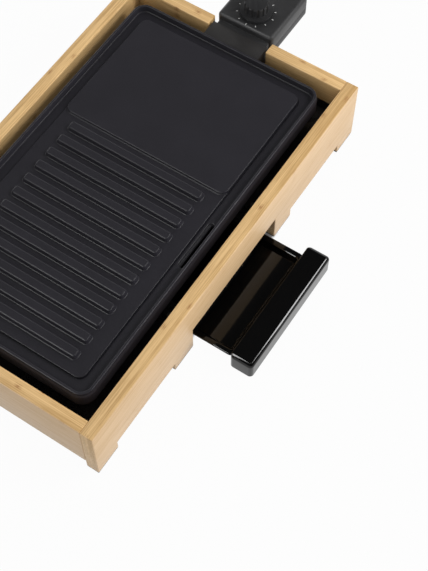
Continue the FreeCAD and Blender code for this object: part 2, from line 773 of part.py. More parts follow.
def element_clamps():
    """Saddles that hold the heater ring against the plate."""
    saddles = []
    bore = "element_radius + hole_play"
    for i, (x, y) in enumerate(CLAMP_PLACES):
        left = f"{x} - clamp_length / 2"
        block = box(f"clamp{i}", (left, f"{y} - clamp_width / 2", "clamp_low"),
                    (f"{x} + clamp_length / 2", f"{y} + clamp_width / 2", "underside"))
        round_bore = cylinder(f"clamp_bore{i}", bore, "clamp_length", (left, y, "plug_z"), "+x")
        mouth = box(f"clamp_mouth{i}", (left, f"{y} - ({bore})", "plug_z"),
                    (f"{x} + clamp_length / 2", f"{y} + {bore}", "underside + clamp_wall"))
        ears = [at for at in CLAMP_SCREWS if at[0] == x and at[1].startswith(f"{y} ")]
        holes = drills(f"clamp_ear{i}", [(ex, ey, "clamp_low") for ex, ey in ears], "screw_shank + hole_play",
                       "underside - clamp_low", "+z")
        saddles.append(cut(f"clamp_cut{i}", block, group(f"clamp_tools{i}", [round_bore, mouth] + holes)))
    node("element_clamps", group("clamp_group", saddles))
    grip = "underside - clamp_low + gutter_drop / 2"
    seats = [(x, y, "clamp_low") for x, y in CLAMP_SCREWS]
    node("clamp_screws", group("clamp_screw_group", screws("clamp", seats, "+z", grip)))


def terminals():
    """Heater pins in ceramic bushes, and the pocket for the temperature probe."""
    bushes, pins = [], []
    start = "plate_half_x - skirt_wall - bush_inside"
    reach = f"shroud_back + bush_flange_wall - ({start})"
    for i, y in enumerate(TERMINALS):
        body = fuse(f"bush{i}", [
            cylinder(f"bush_body{i}", "bush_radius", reach, (start, y, "plug_z"), "+x"),
            cylinder(f"bush_brim{i}", "bush_flange", "bush_flange_wall", ("shroud_back", y, "plug_z"),
                     "+x")])
        bore = cylinder(f"bush_bore{i}", "pin_radius + hole_play", reach, (start, y, "plug_z"), "+x")
        bushes.append(cut(f"bush_cut{i}", body, bore))
        pins.append(cylinder(f"pin{i}", "pin_radius", "pin_end - element_end", ("element_end", y, "plug_z"),
                             "+x"))
    node("terminal_bushes", group("bush_group", bushes))
    node("terminal_pins", group("pin_group", pins))
    start = "shroud_back - socket_depth"
    wall = "socket_radius - socket_bore"
    tube = cylinder("socket_tube", "socket_radius", "socket_depth", (start, "0", "plug_z"), "+x")
    bore = cylinder("socket_hole", "socket_bore", f"socket_depth - ({wall})",
                    (f"{start} + {wall}", "0", "plug_z"), "+x")
    node("probe_socket", cut("socket_cut", tube, bore))


def inlet_shroud():
    """Guard round the pins, screwed to the plate's skirt and open towards the control."""
    outer = box("shroud_outer", ("plate_half_x", "-shroud_half_y", "plug_z - shroud_half_z"),
                ("plate_half_x + shroud_reach", "shroud_half_y", "plug_z + shroud_half_z"))
    inner = box("shroud_inner", ("shroud_back", "-shroud_half_y + shroud_wall",
                                 "plug_z - shroud_half_z + shroud_wall"),
                ("plate_half_x + 2 * shroud_reach", "shroud_half_y - shroud_wall",
                 "plug_z + shroud_half_z - shroud_wall"))
    tools = [inner]
    tools += drills("shroud_terminal", [("plate_half_x", y, "plug_z") for y in TERMINALS],
                    "bush_radius + hole_play", "shroud_wall", "+x")
    tools += drills("shroud_probe", [("plate_half_x", "0", "plug_z")], "socket_radius + hole_play",
                    "shroud_wall", "+x")
    tools += drills("shroud_hole", SHROUD_SCREWS, "screw_shank + hole_play", "shroud_wall", "-x")
    node("inlet_shroud", cut("shroud_cut", outer, group("shroud_tools", tools)))
    node("shroud_screws", group("shroud_screw_group", screws("shroud", SHROUD_SCREWS, "-x")))


def control_shell(label, side):
    """Upper or lower half of the control's housing, with its plug nose and screw posts."""
    limit = "housing_top" if side > 0 else "housing_bottom"

    def half_box(name, front, end, half_y, depth):
        levels = sorted(("plug_z", f"plug_z + {side} * ({depth})"), key=value)
        return box(f"{label}_{name}", (front, f"-({half_y})", levels[0]), (end, half_y, levels[1]))

    depth = "housing_high" if side > 0 else "housing_low"
    block = half_box("block", "housing_front", "housing_end", "housing_half_y", depth)
    far_z, half_y = value(limit), value("housing_half_y")

    def pick(edge):
        corner = runs_along(edge, "z") and near(abs(edge.CenterOfMass.y), half_y)
        return corner or near(edge.CenterOfMass.z, far_z)

    outer = fuse(f"{label}_outer", [
        rounded(f"{label}_rounded", block, "housing_round", pick),
        half_box("nose", "nose_front", "housing_front + shell_wall", "nose_half_y", "nose_half_z")])
    inner = fuse(f"{label}_inner", [
        half_box("room", "housing_front + shell_wall", "housing_end - shell_wall",
                 "housing_half_y - shell_wall", f"{depth} - shell_wall"),
        half_box("throat", "nose_front + shell_wall", "housing_front + 2 * shell_wall",
                 "nose_half_y - shell_wall", "nose_half_z - shell_wall")])
    way = sign(side) + "z"
    posts = [cylinder(f"{label}_post{i}", "shell_post_radius", f"{depth} - shell_wall", (x, y, "plug_z"), way)
             for i, (x, y) in enumerate(SHELL_POSTS)]
    shell = fuse(f"{label}_shell", [cut(f"{label}_hollow", outer, inner)] + posts)
    bore = depth if side < 0 else "screw_grip + shell_wall"
    tools = drills(f"{label}_screw", [(x, y, "plug_z") for x, y in SHELL_POSTS], "screw_shank + hole_play",
                   bore, way)
    if side < 0:
        tools += drills(f"{label}_sink", [(x, y, limit) for x, y in SHELL_POSTS], "screw_head + hole_play",
                        "screw_head_height + hole_play", "+z")
    else:
        tools += drills(f"{label}_shaft", [("knob_x", "0", limit)], "shaft_radius + shaft_play",
                        "2 * shell_wall", "-z")
        tools += drills(f"{label}_lens", [("lens_x", "0", limit)], "lens_radius + hole_play",
                        "2 * shell_wall", "-z")
    tools += drills(f"{label}_pin", [("nose_front", y, "plug_z") for y in TERMINALS],
                    "sleeve_bore + hole_play", "2 * shell_wall", "+x")
    tools += drills(f"{label}_probe", [("nose_front", "0", "plug_z")], "probe_radius + hole_play",
                    "2 * shell_wall", "+x")
    tools += drills(f"{label}_cord", [("housing_end", "0", "plug_z")], "bushing_radius + hole_play",
                    "2 * shell_wall", "-x")
    node(label, cut(f"{label}_cut", shell, group(f"{label}_tools", tools)))


def control_inside():
    """Thermostat block with its contacts and probe, and the screws of the housing."""
    block = box("block_body", ("block_front", "-block_half_y", "housing_bottom + shell_wall"),
                ("block_front + block_length", "block_half_y", "block_top"))
    bore = cylinder("block_bore", "shaft_radius + shaft_play", "shaft_in_block", ("knob_x", "0", "block_top"),
                    "-z")
    node("thermostat_block", cut("block_cut", block, bore))
    start = "nose_front + shell_wall"
    sleeves = []
    for i, y in enumerate(TERMINALS):
        tube = cylinder(f"sleeve{i}", "sleeve_radius", f"block_front - ({start})", (start, y, "plug_z"), "+x")
        hole = cylinder(f"sleeve_hole{i}", "sleeve_bore", f"pin_end - ({start}) + probe_clearance",
                        (start, y, "plug_z"), "+x")
        sleeves.append(cut(f"sleeve_cut{i}", tube, hole))
    node("contact_sleeves", group("sleeve_group", sleeves))
    tip = "shroud_back - socket_depth + socket_radius - socket_bore + probe_clearance"
    node("probe_rod", cylinder("probe", "probe_radius", f"block_front - ({tip})", (tip, "0", "plug_z"), "+x"))
    seats = [(x, y, "housing_bottom + screw_head_height + hole_play") for x, y in SHELL_POSTS]
    grip = "housing_low - screw_head_height + screw_grip"
    node("control_screws", group("control_screw_group", screws("control", seats, "+z", grip)))


def control_outside():
    """Indicator with its lamp, and the gland of the housing."""
    lens = fuse("lens", [
        cylinder("lens_body", "lens_radius", "housing_top + lens_rise - (lens_under)",
                 ("lens_x", "0", "lens_under")),
        cylinder("lens_brim", "lens_flange", "lens_flange_wall", ("lens_x", "0", "lens_under"))])
    node("pilot_lens", lens)
    node("pilot_lamp", cylinder("lamp", "lamp_radius", "lamp_length", ("lens_x", "0", "lens_under"), "-z"))
    inner_face = "housing_end - shell_wall"
    ring = fuse("bushing_ring", [
        cylinder("bushing_neck", "bushing_radius", "shell_wall", (inner_face, "0", "plug_z"), "+x"),
        cylinder("bushing_inside", "bushing_flange", "shell_wall", (inner_face, "0", "plug_z"), "-x"),
        cylinder("bushing_outside", "bushing_flange", "bushing_reach", ("housing_end", "0", "plug_z"), "+x")])
    bore = cylinder("bushing_hole", "bushing_bore", "3 * shell_wall + bushing_reach",
                    ("housing_end - 2 * shell_wall", "0", "plug_z"), "+x")
    node("cord_bushing", cut("bushing_cut", ring, bore))


def knob():
    """Fluted dial with a pointer, on the thermostat's shaft."""
    skirt = cylinder("knob_skirt_disc", "knob_radius", "knob_skirt", ("knob_x", "0", "knob_low"))
    top = "knob_low + knob_skirt"
    grip = cylinder("knob_grip", "grip_radius", "grip_height", ("knob_x", "0", top))
    pointer = box("knob_pointer", ("knob_x + grip_radius / 2", "-pointer_width / 2", top),
                  ("knob_x + knob_radius - pointer_width", "pointer_width / 2", f"{top} + pointer_rise"))
    flutes = []
    for i in range(int(value("flute_count"))):
        angle = f"360 * ({i} + 0.5) / flute_count"
        flutes.append(cylinder(f"flute{i}", "flute_radius", "grip_height",
                               (f"knob_x + grip_radius * cos({angle})", f"grip_radius * sin({angle})",
                                f"{top} + pointer_rise + hole_play")))
    bore = cylinder("knob_bore", "shaft_radius + hole_play", "shaft_in_knob", ("knob_x", "0", "knob_low"))
    rim = value(f"{top} + grip_height")
    body = rounded("knob_body", fuse("knob_solid", [skirt, grip]), "flute_radius / 2",
                   lambda e: near(e.CenterOfMass.z, rim))
    marked = fuse("knob_marked", [cut("knob_fluted", body, group("flute_group", flutes)), pointer])
    node("control_knob", cut("knob_cut", marked, bore))
    low = "block_top - shaft_in_block + knob_gap"
    node("knob_shaft", cylinder("shaft", "shaft_radius", f"knob_low + shaft_in_knob - ({low})",
                                ("knob_x", "0", low)))


def drip_tray():
    """Shallow tray with a flat rim all round and an upright plate at the front for the handle."""
    body = doc.addObject("PartDesign::Body", "tray_body")
    rim = sketch(body, "rim_outline", "rim_under")
    rectangle(rim, "-tray_width / 2", "tray_width / 2", "handle_back", "tray_rear")
    pad(body, "rim", rim, "rim_wall")
    tub = sketch(body, "tub_outline", "tray_bottom")
    rectangle(tub, "-tub_half_x - tray_wall", "tub_half_x + tray_wall", "tub_front - tray_wall",
              "tub_rear + tray_wall")
    pad(body, "tub", tub, "rim_under - tray_bottom")
    room = sketch(body, "room_outline", "tray_rim")
    rectangle(room, "-tub_half_x", "tub_half_x", "tub_front", "tub_rear")
    pocket(body, "room", room, "tray_rim - tray_bottom - tray_wall")
    half_x = value("tub_half_x")
    round_body(body, "room_corners", "tray_corner - tray_wall",
               lambda e: runs_along(e, "z") and near(abs(e.CenterOfMass.x), half_x))
    outer_x, rim_x = value("tub_half_x + tray_wall"), value("tray_width / 2")
    round_body(body, "tub_corners", "tray_corner",
               lambda e: runs_along(e, "z") and near(abs(e.CenterOfMass.x), outer_x))
    rear_y = value("tray_rear")
    round_body(body, "rim_corners", "tray_corner", lambda e: (
        runs_along(e, "z") and near(abs(e.CenterOfMass.x), rim_x) and near(e.CenterOfMass.y, rear_y)))
    front = sketch(body, "front_outline", "tray_bottom")
    rectangle(front, "-tub_half_x - tray_wall", "tub_half_x + tray_wall", "handle_back",
              "handle_back + tray_wall")
    pad(body, "front_plate", front, "rim_under - tray_bottom")
    holes = drills("tray_hole", HANDLE_SCREWS, "screw_shank + hole_play", "tray_wall", "-y")
    node("drip_tray", cut("tray_cut", body, group("tray_tools", holes)))


def tray_handle():
    """Rounded hollow bar across the front of the tray."""
    body = doc.addObject("PartDesign::Body", "handle_body")
    bar = sketch(body, "bar_outline", "handle_low")
    rectangle(bar, "-handle_half", "handle_half", "handle_front", "handle_back")
    pad(body, "bar", bar, "handle_high - handle_low")
    low, high = value("handle_low"), value("handle_high")
    faces = [value("handle_front"), value("handle_back")]
    round_body(body, "bar_ends", "handle_end_round",
               lambda e: runs_along(e, "y") and near(e.CenterOfMass.z, high))
    round_body(body, "bar_edges", "handle_round",
               lambda e: not near(e.CenterOfMass.z, low) and any(near(e.CenterOfMass.y, y) for y in faces))
    room = sketch(body, "bar_room_outline", "handle_low")
    rectangle(room, "-handle_half + 2 * handle_wall", "handle_half - 2 * handle_wall",
              "handle_front + handle_wall", "handle_back - handle_wall")
    pocket(body, "bar_room", room, "handle_high - handle_low - handle_wall", upwards=True)
    holes = drills("handle_hole", [(x, "handle_back", z) for x, _, z in HANDLE_SCREWS],
                   "screw_shank + hole_play", "handle_wall", "-y")
    node("tray_handle", cut("handle_cut", body, group("handle_tools", holes)))
    node("handle_screws", group("handle_screw_group", screws("handle", HANDLE_SCREWS, "-y")))


def check_and_write():
    """Stop at any failed object, then write each sub-part to its own file."""
    doc.recompute()
    failed = [o.Name for o in doc.Objects if {"Invalid", "Error"} & set(o.State)]
    failed += [o.Label for o in nodes if o.Shape.isNull() or not o.Shape.isValid() or not o.Shape.Solids]
    if failed:
        raise ValueError(f"failed objects: {failed}")
    os.makedirs("parts", exist_ok=True)
    for item in nodes:
        item.Shape.exportStep(f"parts/{item.Label}.step")


long_rail("front_rail", -1)
long_rail("rear_rail", 1)
side_rail("left_rail", -1)
side_rail("right_rail", 1)
frame_fittings()
base_pan()
supports()
heat_reflector()
tray_runner("tray_runner_left", -1)
tray_runner("tray_runner_right", 1)
runner_rivets()
grill_plate()
heating_element()
element_clamps()
terminals()
inlet_shroud()
control_shell("control_upper_shell", 1)
control_shell("control_lower_shell", -1)
control_inside()
control_outside()
knob()
drip_tray()
tray_handle()
check_and_write()
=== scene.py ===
"""Dresses an electric table grill: bamboo frame, coated plate, gloss drip tray, plug-in control and stage."""
import math

import bmesh
import bpy
from bpy.props import FloatProperty, FloatVectorProperty, IntProperty, PointerProperty
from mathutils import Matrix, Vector


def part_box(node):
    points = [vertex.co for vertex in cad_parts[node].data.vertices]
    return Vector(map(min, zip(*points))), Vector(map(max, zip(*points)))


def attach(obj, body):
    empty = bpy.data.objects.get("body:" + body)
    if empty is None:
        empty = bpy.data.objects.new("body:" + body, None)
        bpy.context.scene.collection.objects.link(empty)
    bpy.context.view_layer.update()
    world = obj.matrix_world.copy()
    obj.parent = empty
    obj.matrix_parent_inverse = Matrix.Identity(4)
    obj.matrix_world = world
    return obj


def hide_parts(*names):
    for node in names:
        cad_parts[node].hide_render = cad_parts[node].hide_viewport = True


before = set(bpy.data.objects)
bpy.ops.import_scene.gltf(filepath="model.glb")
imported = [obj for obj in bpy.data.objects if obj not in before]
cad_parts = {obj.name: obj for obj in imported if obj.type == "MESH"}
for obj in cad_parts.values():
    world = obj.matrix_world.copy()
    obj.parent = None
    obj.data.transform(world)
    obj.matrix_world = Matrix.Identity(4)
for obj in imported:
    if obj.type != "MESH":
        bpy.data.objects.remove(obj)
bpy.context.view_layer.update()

bl_info = {
    "name": "Table grill",
    "version": (1, 0, 0),
    "blender": (4, 5, 0),
    "location": "View3D > Sidebar > Grill",
    "description": "Builds the look of an electric table grill around its frame",
    "category": "Add Mesh",
}

MM = 0.001
IMAGE_WIDTH, IMAGE_HEIGHT = 428, 571
SENSOR = 36.0
SMOOTH_ANGLE = math.radians(38)  # edges that bend more than this stay sharp
CRISP_ANGLE = math.radians(24)   # the same for the plate's fine bevels
HARD_ANGLE = math.radians(40)    # edges that bend more than this are eased
FLAT_ANGLE = math.radians(0.6)   # faces that bend less than this are one face
WELD = 0.002 * MM                # points closer than this are one point
SLACK = 0.01 * MM                # left off a full round, so that its arcs keep apart


# Sizes and colours that a user would change.

def length(name, description, default):
    """A length with its default in millimetres."""
    return FloatProperty(name=name, description=description, default=default * MM, unit="LENGTH",
                         precision=5)


def degrees(name, description, default):
    return FloatProperty(name=name, description=description, default=math.radians(default),
                         subtype="ANGLE")


def colour(name, description, default):
    return FloatVectorProperty(name=name, description=description, default=default, subtype="COLOR",
                               min=0.0, max=1.0)


class BambooLook(bpy.types.PropertyGroup):
    """Boards of the frame"""
    light: colour("Light strips", "Colour of the pale strips", (0.735, 0.49, 0.228))
    dark: colour("Dark strips", "Colour of the darker strips", (0.475, 0.284, 0.105))
    face: colour("Face", "Colour of the outer face", (0.69, 0.482, 0.278))
    wall: length("Thickness", "Thickness of a board", 15.0)
    strip: length("Strip", "Height of one laminated strip", 17.0)
    edge: length("Edge", "Radius of the eased edges", 1.0)


class PlateLook(bpy.types.PropertyGroup):
    """Cast plate with its non-stick coating"""
    coat: colour("Coating", "Colour of the coating", (0.0178, 0.0167, 0.0218))
    corner: length("Corner", "Radius of the outer corners", 16.0)
    wall: length("Wall", "Thickness of the skirt", 3.5)
    lip: length("Lip", "Width of the raised lip with its outer ledge", 4.2)
    gutter: length("Gutter", "Width of the gutter", 13.3)
    gutter_drop: length("Gutter drop", "Depth of the gutter below the floor", 3.0)
    floor_drop: length("Floor drop", "Depth of the floor below the lip", 5.0)
    under: length("Underside", "Depth of the underside below the lip", 11.0)
    flat_length: length("Flat zone", "Length of the smooth zone", 155.5)
    flat_rise: length("Flat rise", "Height of the smooth zone above the floor", 2.5)
    flat_corner: length("Flat corner", "Radius of the smooth zone's corners", 9.0)
    rib_pitch: length("Rib pitch", "Distance between ribs", 20.0)
    rib_from_flat: length("First rib", "Distance from the smooth zone to the first rib", 14.0)
    rib_end_gap: length("Rib end", "Distance from a rib's end to the gutter", 18.0)
    rib_width: length("Rib width", "Width of a rib's top", 9.2)
    rib_height: length("Rib height", "Height of a rib", 5.0)
    rib_count: IntProperty(name="Ribs", description="Number of ribs", default=12, min=1)
    drain_x: length("Drain place", "Middle of the drain slot", -14.5)
    drain_y: length("Drain inset", "Distance of the drain slot's middle from the outer edge", 10.25)
    drain_length: length("Drain length", "Length of the drain slot", 63.0)
    drain_width: length("Drain width", "Width of the drain slot", 8.5)
    spout_wall: length("Spout wall", "Thickness of the spout under the drain slot", 1.5)
    spout_drop: length("Spout drop", "Height of the spout below the plate", 6.0)


class TrayLook(bpy.types.PropertyGroup):
    """Drip tray and handle"""
    gloss: colour("Gloss black", "Colour of the tray and its handle", (0.0018, 0.0018, 0.0019))
    rim: length("Rim", "Width of the rim at the sides", 7.0)
    front_rim: length("Front rim", "Width of the rim at the handle", 5.2)
    wall: length("Wall", "Thickness of the walls", 2.0)
    corner: length("Corner", "Radius of the tub's corners", 4.0)
    rim_corner: length("Rim corner", "Radius of the rim's corners", 6.0)
    handle_round: length("Handle edge", "Radius of the handle's long edges", 4.5)
    handle_end: length("Handle end", "Radius of the handle's top at its ends", 6.5)
    handle_wall: length("Handle wall", "Thickness of the handle", 3.0)


class StageLook(bpy.types.PropertyGroup):
    """Camera and light"""
    azimuth: degrees("Azimuth", "Direction that the camera looks from, counted from the front", -56.76)
    elevation: degrees("Elevation", "Height of the camera above the horizon", 60.73)
    focal: FloatProperty(name="Focal length", description="Focal length in pixels of the image",
                         default=1249.0)
    distance: length("Distance", "Distance along the view to the aim point", 1256.0)
    aim: FloatVectorProperty(name="Aim", description="Point on the rail that fixes the framing",
                             default=(-0.06575, -0.136, 0.085), subtype="TRANSLATION")
    aim_pixel: FloatVectorProperty(name="Aim pixel", description="Pixel of the aim point", size=2,
                                   default=(188.1, 290.0))
    floor: colour("Floor", "Colour of the floor", (0.45, 0.45, 0.45))


# Mesh helpers. Every piece is built in place, in metres, with its object at the origin.

def outline(x_low, x_high, y_low, y_high, radius, z, steps):
    """A rounded rectangle as a ring of points."""
    centres = ((x_high - radius, y_high - radius), (x_low + radius, y_high - radius),
               (x_low + radius, y_low + radius), (x_high - radius, y_low + radius))
    ring = []
    for quarter, (x, y) in enumerate(centres):
        for i in range(steps + 1):
            angle = math.pi / 2 * (quarter + i / steps)
            ring.append((x + radius * math.cos(angle), y + radius * math.sin(angle), z))
    return ring


def profile_rings(box, corner, profile, steps):
    """Outlines of a box, drawn in along a profile of insets and levels in millimetres.

    A third number in the profile, where there is one, makes the corners tighter.
    """
    x_low, x_high, y_low, y_high = box
    rings = []
    for inset, z, *tighter in profile:
        d = inset * MM
        rings.append(outline(x_low + d, x_high - d, y_low + d, y_high - d,
                             corner - d - sum(tighter) * MM, z * MM, steps))
    return rings


def skin(bm, rings, closed=False):
    """Faces between successive rings, and a face over each end; a closed skin joins its ends instead."""
    rows = [[bm.verts.new(p) for p in ring] for ring in rings]
    for low, high in zip(rows, rows[1:] + rows[:1] if closed else rows[1:]):
        for i in range(len(low)):
            j = (i + 1) % len(low)
            bm.faces.new((low[i], low[j], high[j], high[i]))
    if not closed:
        bm.faces.new(list(reversed(rows[0])))
        bm.faces.new(rows[-1])


def mesh_from(bm, name):
    bmesh.ops.recalc_face_normals(bm, faces=bm.faces[:])
    mesh = bpy.data.meshes.new(name)
    bm.to_mesh(mesh)
    bm.free()
    return mesh


def shell(name, rings):
    """A mesh of one skin."""
    bm = bmesh.new()
    skin(bm, rings)
    return mesh_from(bm, name)


def ease(bm, edges, width, segments):
    bmesh.ops.bevel(bm, geom=edges, offset=width, offset_type="OFFSET", segments=segments, profile=0.5,
                    affect="EDGES", clamp_overlap=True)


def add_object(name, mesh):
    item = bpy.data.objects.new(name, mesh)
    bpy.context.scene.collection.objects.link(item)
    return item


def settle(item):
    """Turn the modifiers' result into the object's own plain mesh."""
    bpy.context.view_layer.update()
    made = item.evaluated_get(bpy.context.evaluated_depsgraph_get())
    mesh = bpy.data.meshes.new_from_object(made)
    item.modifiers.clear()
    old, item.data = item.data, mesh
    mesh.name = old.name
    bpy.data.meshes.remove(old)
    return item


def paint(item, material):
    item.data.materials.clear()
    item.data.materials.append(material)


def piece(name, shape, material, body, node, angle=SMOOTH_ANGLE):
    """Put a finished mesh, or an object that holds one, on its body in place of a node."""
    item = shape if isinstance(shape, bpy.types.Object) else add_object(name, shape)
    item.name = name
    paint(item, material)
    item.data.shade_smooth()
    item.data.set_sharp_from_angle(angle=angle)
    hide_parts(node)
    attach(item, body)


def merged(node):
    """A copy of a node's mesh with its loose triangles joined."""
    bm = bmesh.new()
    bm.from_mesh(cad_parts[node].data)
    bmesh.ops.remove_doubles(bm, verts=bm.verts[:], dist=WELD)
    return bm


def softened(node, width):
    """A copy of a node's mesh whose hard edges are eased."""
    bm = merged(node)
    bmesh.ops.dissolve_limit(bm, angle_limit=FLAT_ANGLE, verts=bm.verts[:], edges=bm.edges[:])
    ease(bm, [e for e in bm.edges if e.is_manifold and e.calc_face_angle() > HARD_ANGLE], width, 2)
    return mesh_from(bm, node)


def islands(node):
    """The vertex positions of each separate solid in a node, in the same order each time."""
    bm = merged(node)
    seen = set()
    found = []
    for start in bm.verts:
        if start in seen:
            continue
        seen.add(start)
        edge, solid = [start], []
        while edge:
            vert = edge.pop()
            solid.append(vert.co.copy())
            for link in vert.link_edges:
                other = link.other_vert(vert)
                if other not in seen:
                    seen.add(other)
                    edge.append(other)
        found.append(solid)
    bm.free()
    return found


def corners(points):
    """The low and the high corner of the box round some points."""
    return [Vector([pick(p[i] for p in points) for i in range(3)]) for pick in (min, max)]


# Node helpers for materials and for geometry. A socket knows its own tree.

def feed(node, inputs):
    """Link sockets to a node's inputs, and set its other inputs to plain values."""
    for key, given in inputs.items():
        if isinstance(given, bpy.types.NodeSocket):
            node.id_data.links.new(given, node.inputs[key])
        else:
            node.inputs[key].default_value = given


def add_node(tree, kind, inputs=None, **settings):
    """Add a node, set its properties, and set or link its inputs."""
    node = tree.nodes.new(kind)
    for key, setting in settings.items():
        setattr(node, key, setting)
    feed(node, inputs or {})
    return node


def result(tree, kind, inputs=None, **settings):
    """Add a node and take its first output."""
    return add_node(tree, kind, inputs, **settings).outputs[0]


def math_node(operation):
    """A function that adds one kind of math node and takes its output."""
    def added(first, second=0.0):
        return result(first.id_data, "ShaderNodeMath", {0: first, 1: second}, operation=operation)
    return added


plus, minus, times, divided = map(math_node, ("ADD", "SUBTRACT", "MULTIPLY", "DIVIDE"))
higher, lower, unsigned = map(math_node, ("MAXIMUM", "MINIMUM", "ABSOLUTE"))
whole, fraction = map(math_node, ("FLOOR", "FRACT"))


def mix(factor, first, second):
    """Mix two colours; sockets or plain colours."""
    first, second = (c if isinstance(c, bpy.types.NodeSocket) else (*c, 1.0) for c in (first, second))
    return add_node(factor.id_data, "ShaderNodeMix", {0: factor, 6: first, 7: second},
                    data_type="RGBA").outputs[2]


def mix_value(factor, first, second):
    return result(factor.id_data, "ShaderNodeMix", {0: factor, 2: first, 3: second}, data_type="FLOAT")


def ranged(source, low, high, start=0.0, end=1.0):
    """Map a value from one range to another, held inside it."""
    return result(source.id_data, "ShaderNodeMapRange", {
        "Value": source, "From Min": start, "From Max": end, "To Min": low, "To Max": high})


def noise(place, scale, detail, rough=0.55):
    return add_node(place.id_data, "ShaderNodeTexNoise", {
        "Vector": place, "Scale": scale, "Detail": detail, "Roughness": rough}).outputs["Fac"]


def stretched(place, scale):
    return result(place.id_data, "ShaderNodeVectorMath", {0: place, 1: scale}, operation="MULTIPLY")


def relief(source, height, strength=1.0):
    """A bump as high as given in millimetres."""
    return result(source.id_data, "ShaderNodeBump", {
        "Height": source, "Distance": height * MM, "Strength": strength})


def toned(tint, share):
    return tuple(c * share for c in tint)


def new_material(name):
    material = bpy.data.materials.new(name)
    material.use_nodes = True
    return material, material.node_tree, material.node_tree.nodes["Principled BSDF"]


def bare_tree(holder):
    """The emptied node tree of a material or a world."""
    holder.use_nodes = True
    holder.node_tree.nodes.clear()
    return holder.node_tree


def millimetres(tree, scale=(1.0, 1.0, 1.0), turn=0.0, shift=(0.0, 0.0, 0.0)):
    """Object coordinates in millimetres, turned about Z and moved."""
    where = add_node(tree, "ShaderNodeTexCoord").outputs["Object"]
    return result(tree, "ShaderNodeMapping", {"Vector": where, "Scale": [s / MM for s in scale],
                                              "Rotation": (0, 0, turn), "Location": shift})


# Materials. Noise keeps mostly to the middle of its range, so that part is spread out.

NOISE_SPAN = (0.35, 0.65)
FIBRE_SPAN = (0.3, 0.7)
PLY_TONES = ((0.0, 0.30), (0.36, 0.34), (0.43, 0.06), (0.57, 0.10), (0.62, 0.52), (0.80, 0.60),
             (0.94, 0.50), (0.985, 0.15))  # how dark a board is from its inner face to its outer one
PLY = 5.0                     # thickness of one layer of strips, in millimetres
CANE = 310.0                  # distance from knuckle to knuckle, in millimetres
CANE_START = 0.284            # where the first knuckle lies, as a share of that distance
LAYER_SHIFT, ROW_SHIFT = 0.553, 0.37  # how far it moves from strip to strip
FLECK_TINT = (0.40, 0.21, 0.075)
KNUCKLE_TINT = (0.36, 0.18, 0.065)


def finish(name, low, high, rough, grain, bump, metallic=0.0, stretch=(1, 1, 1), cloud=40.0):
    """A finish with a fine grain, uneven gloss and slow changes of tone.

    The two colours are the ends of its tone, grain is the size of its texture and bump its height, both
    in millimetres; stretch draws the grain out along an axis.
    """
    material, tree, shader = new_material(name)
    place = millimetres(tree, stretch)
    fine, slow = (noise(place, 1.0 / size, 3.0) for size in (grain, cloud))
    tone = plus(times(fine, 0.45), times(slow, 0.55))
    feed(shader, {"Base Color": mix(ranged(tone, 0.0, 1.0, *NOISE_SPAN), low, high),
                  "Roughness": ranged(tone, *rough, *NOISE_SPAN), "Metallic": metallic, "IOR": 1.5})
    if bump:
        feed(shader, {"Normal": relief(fine, bump)})
    return material


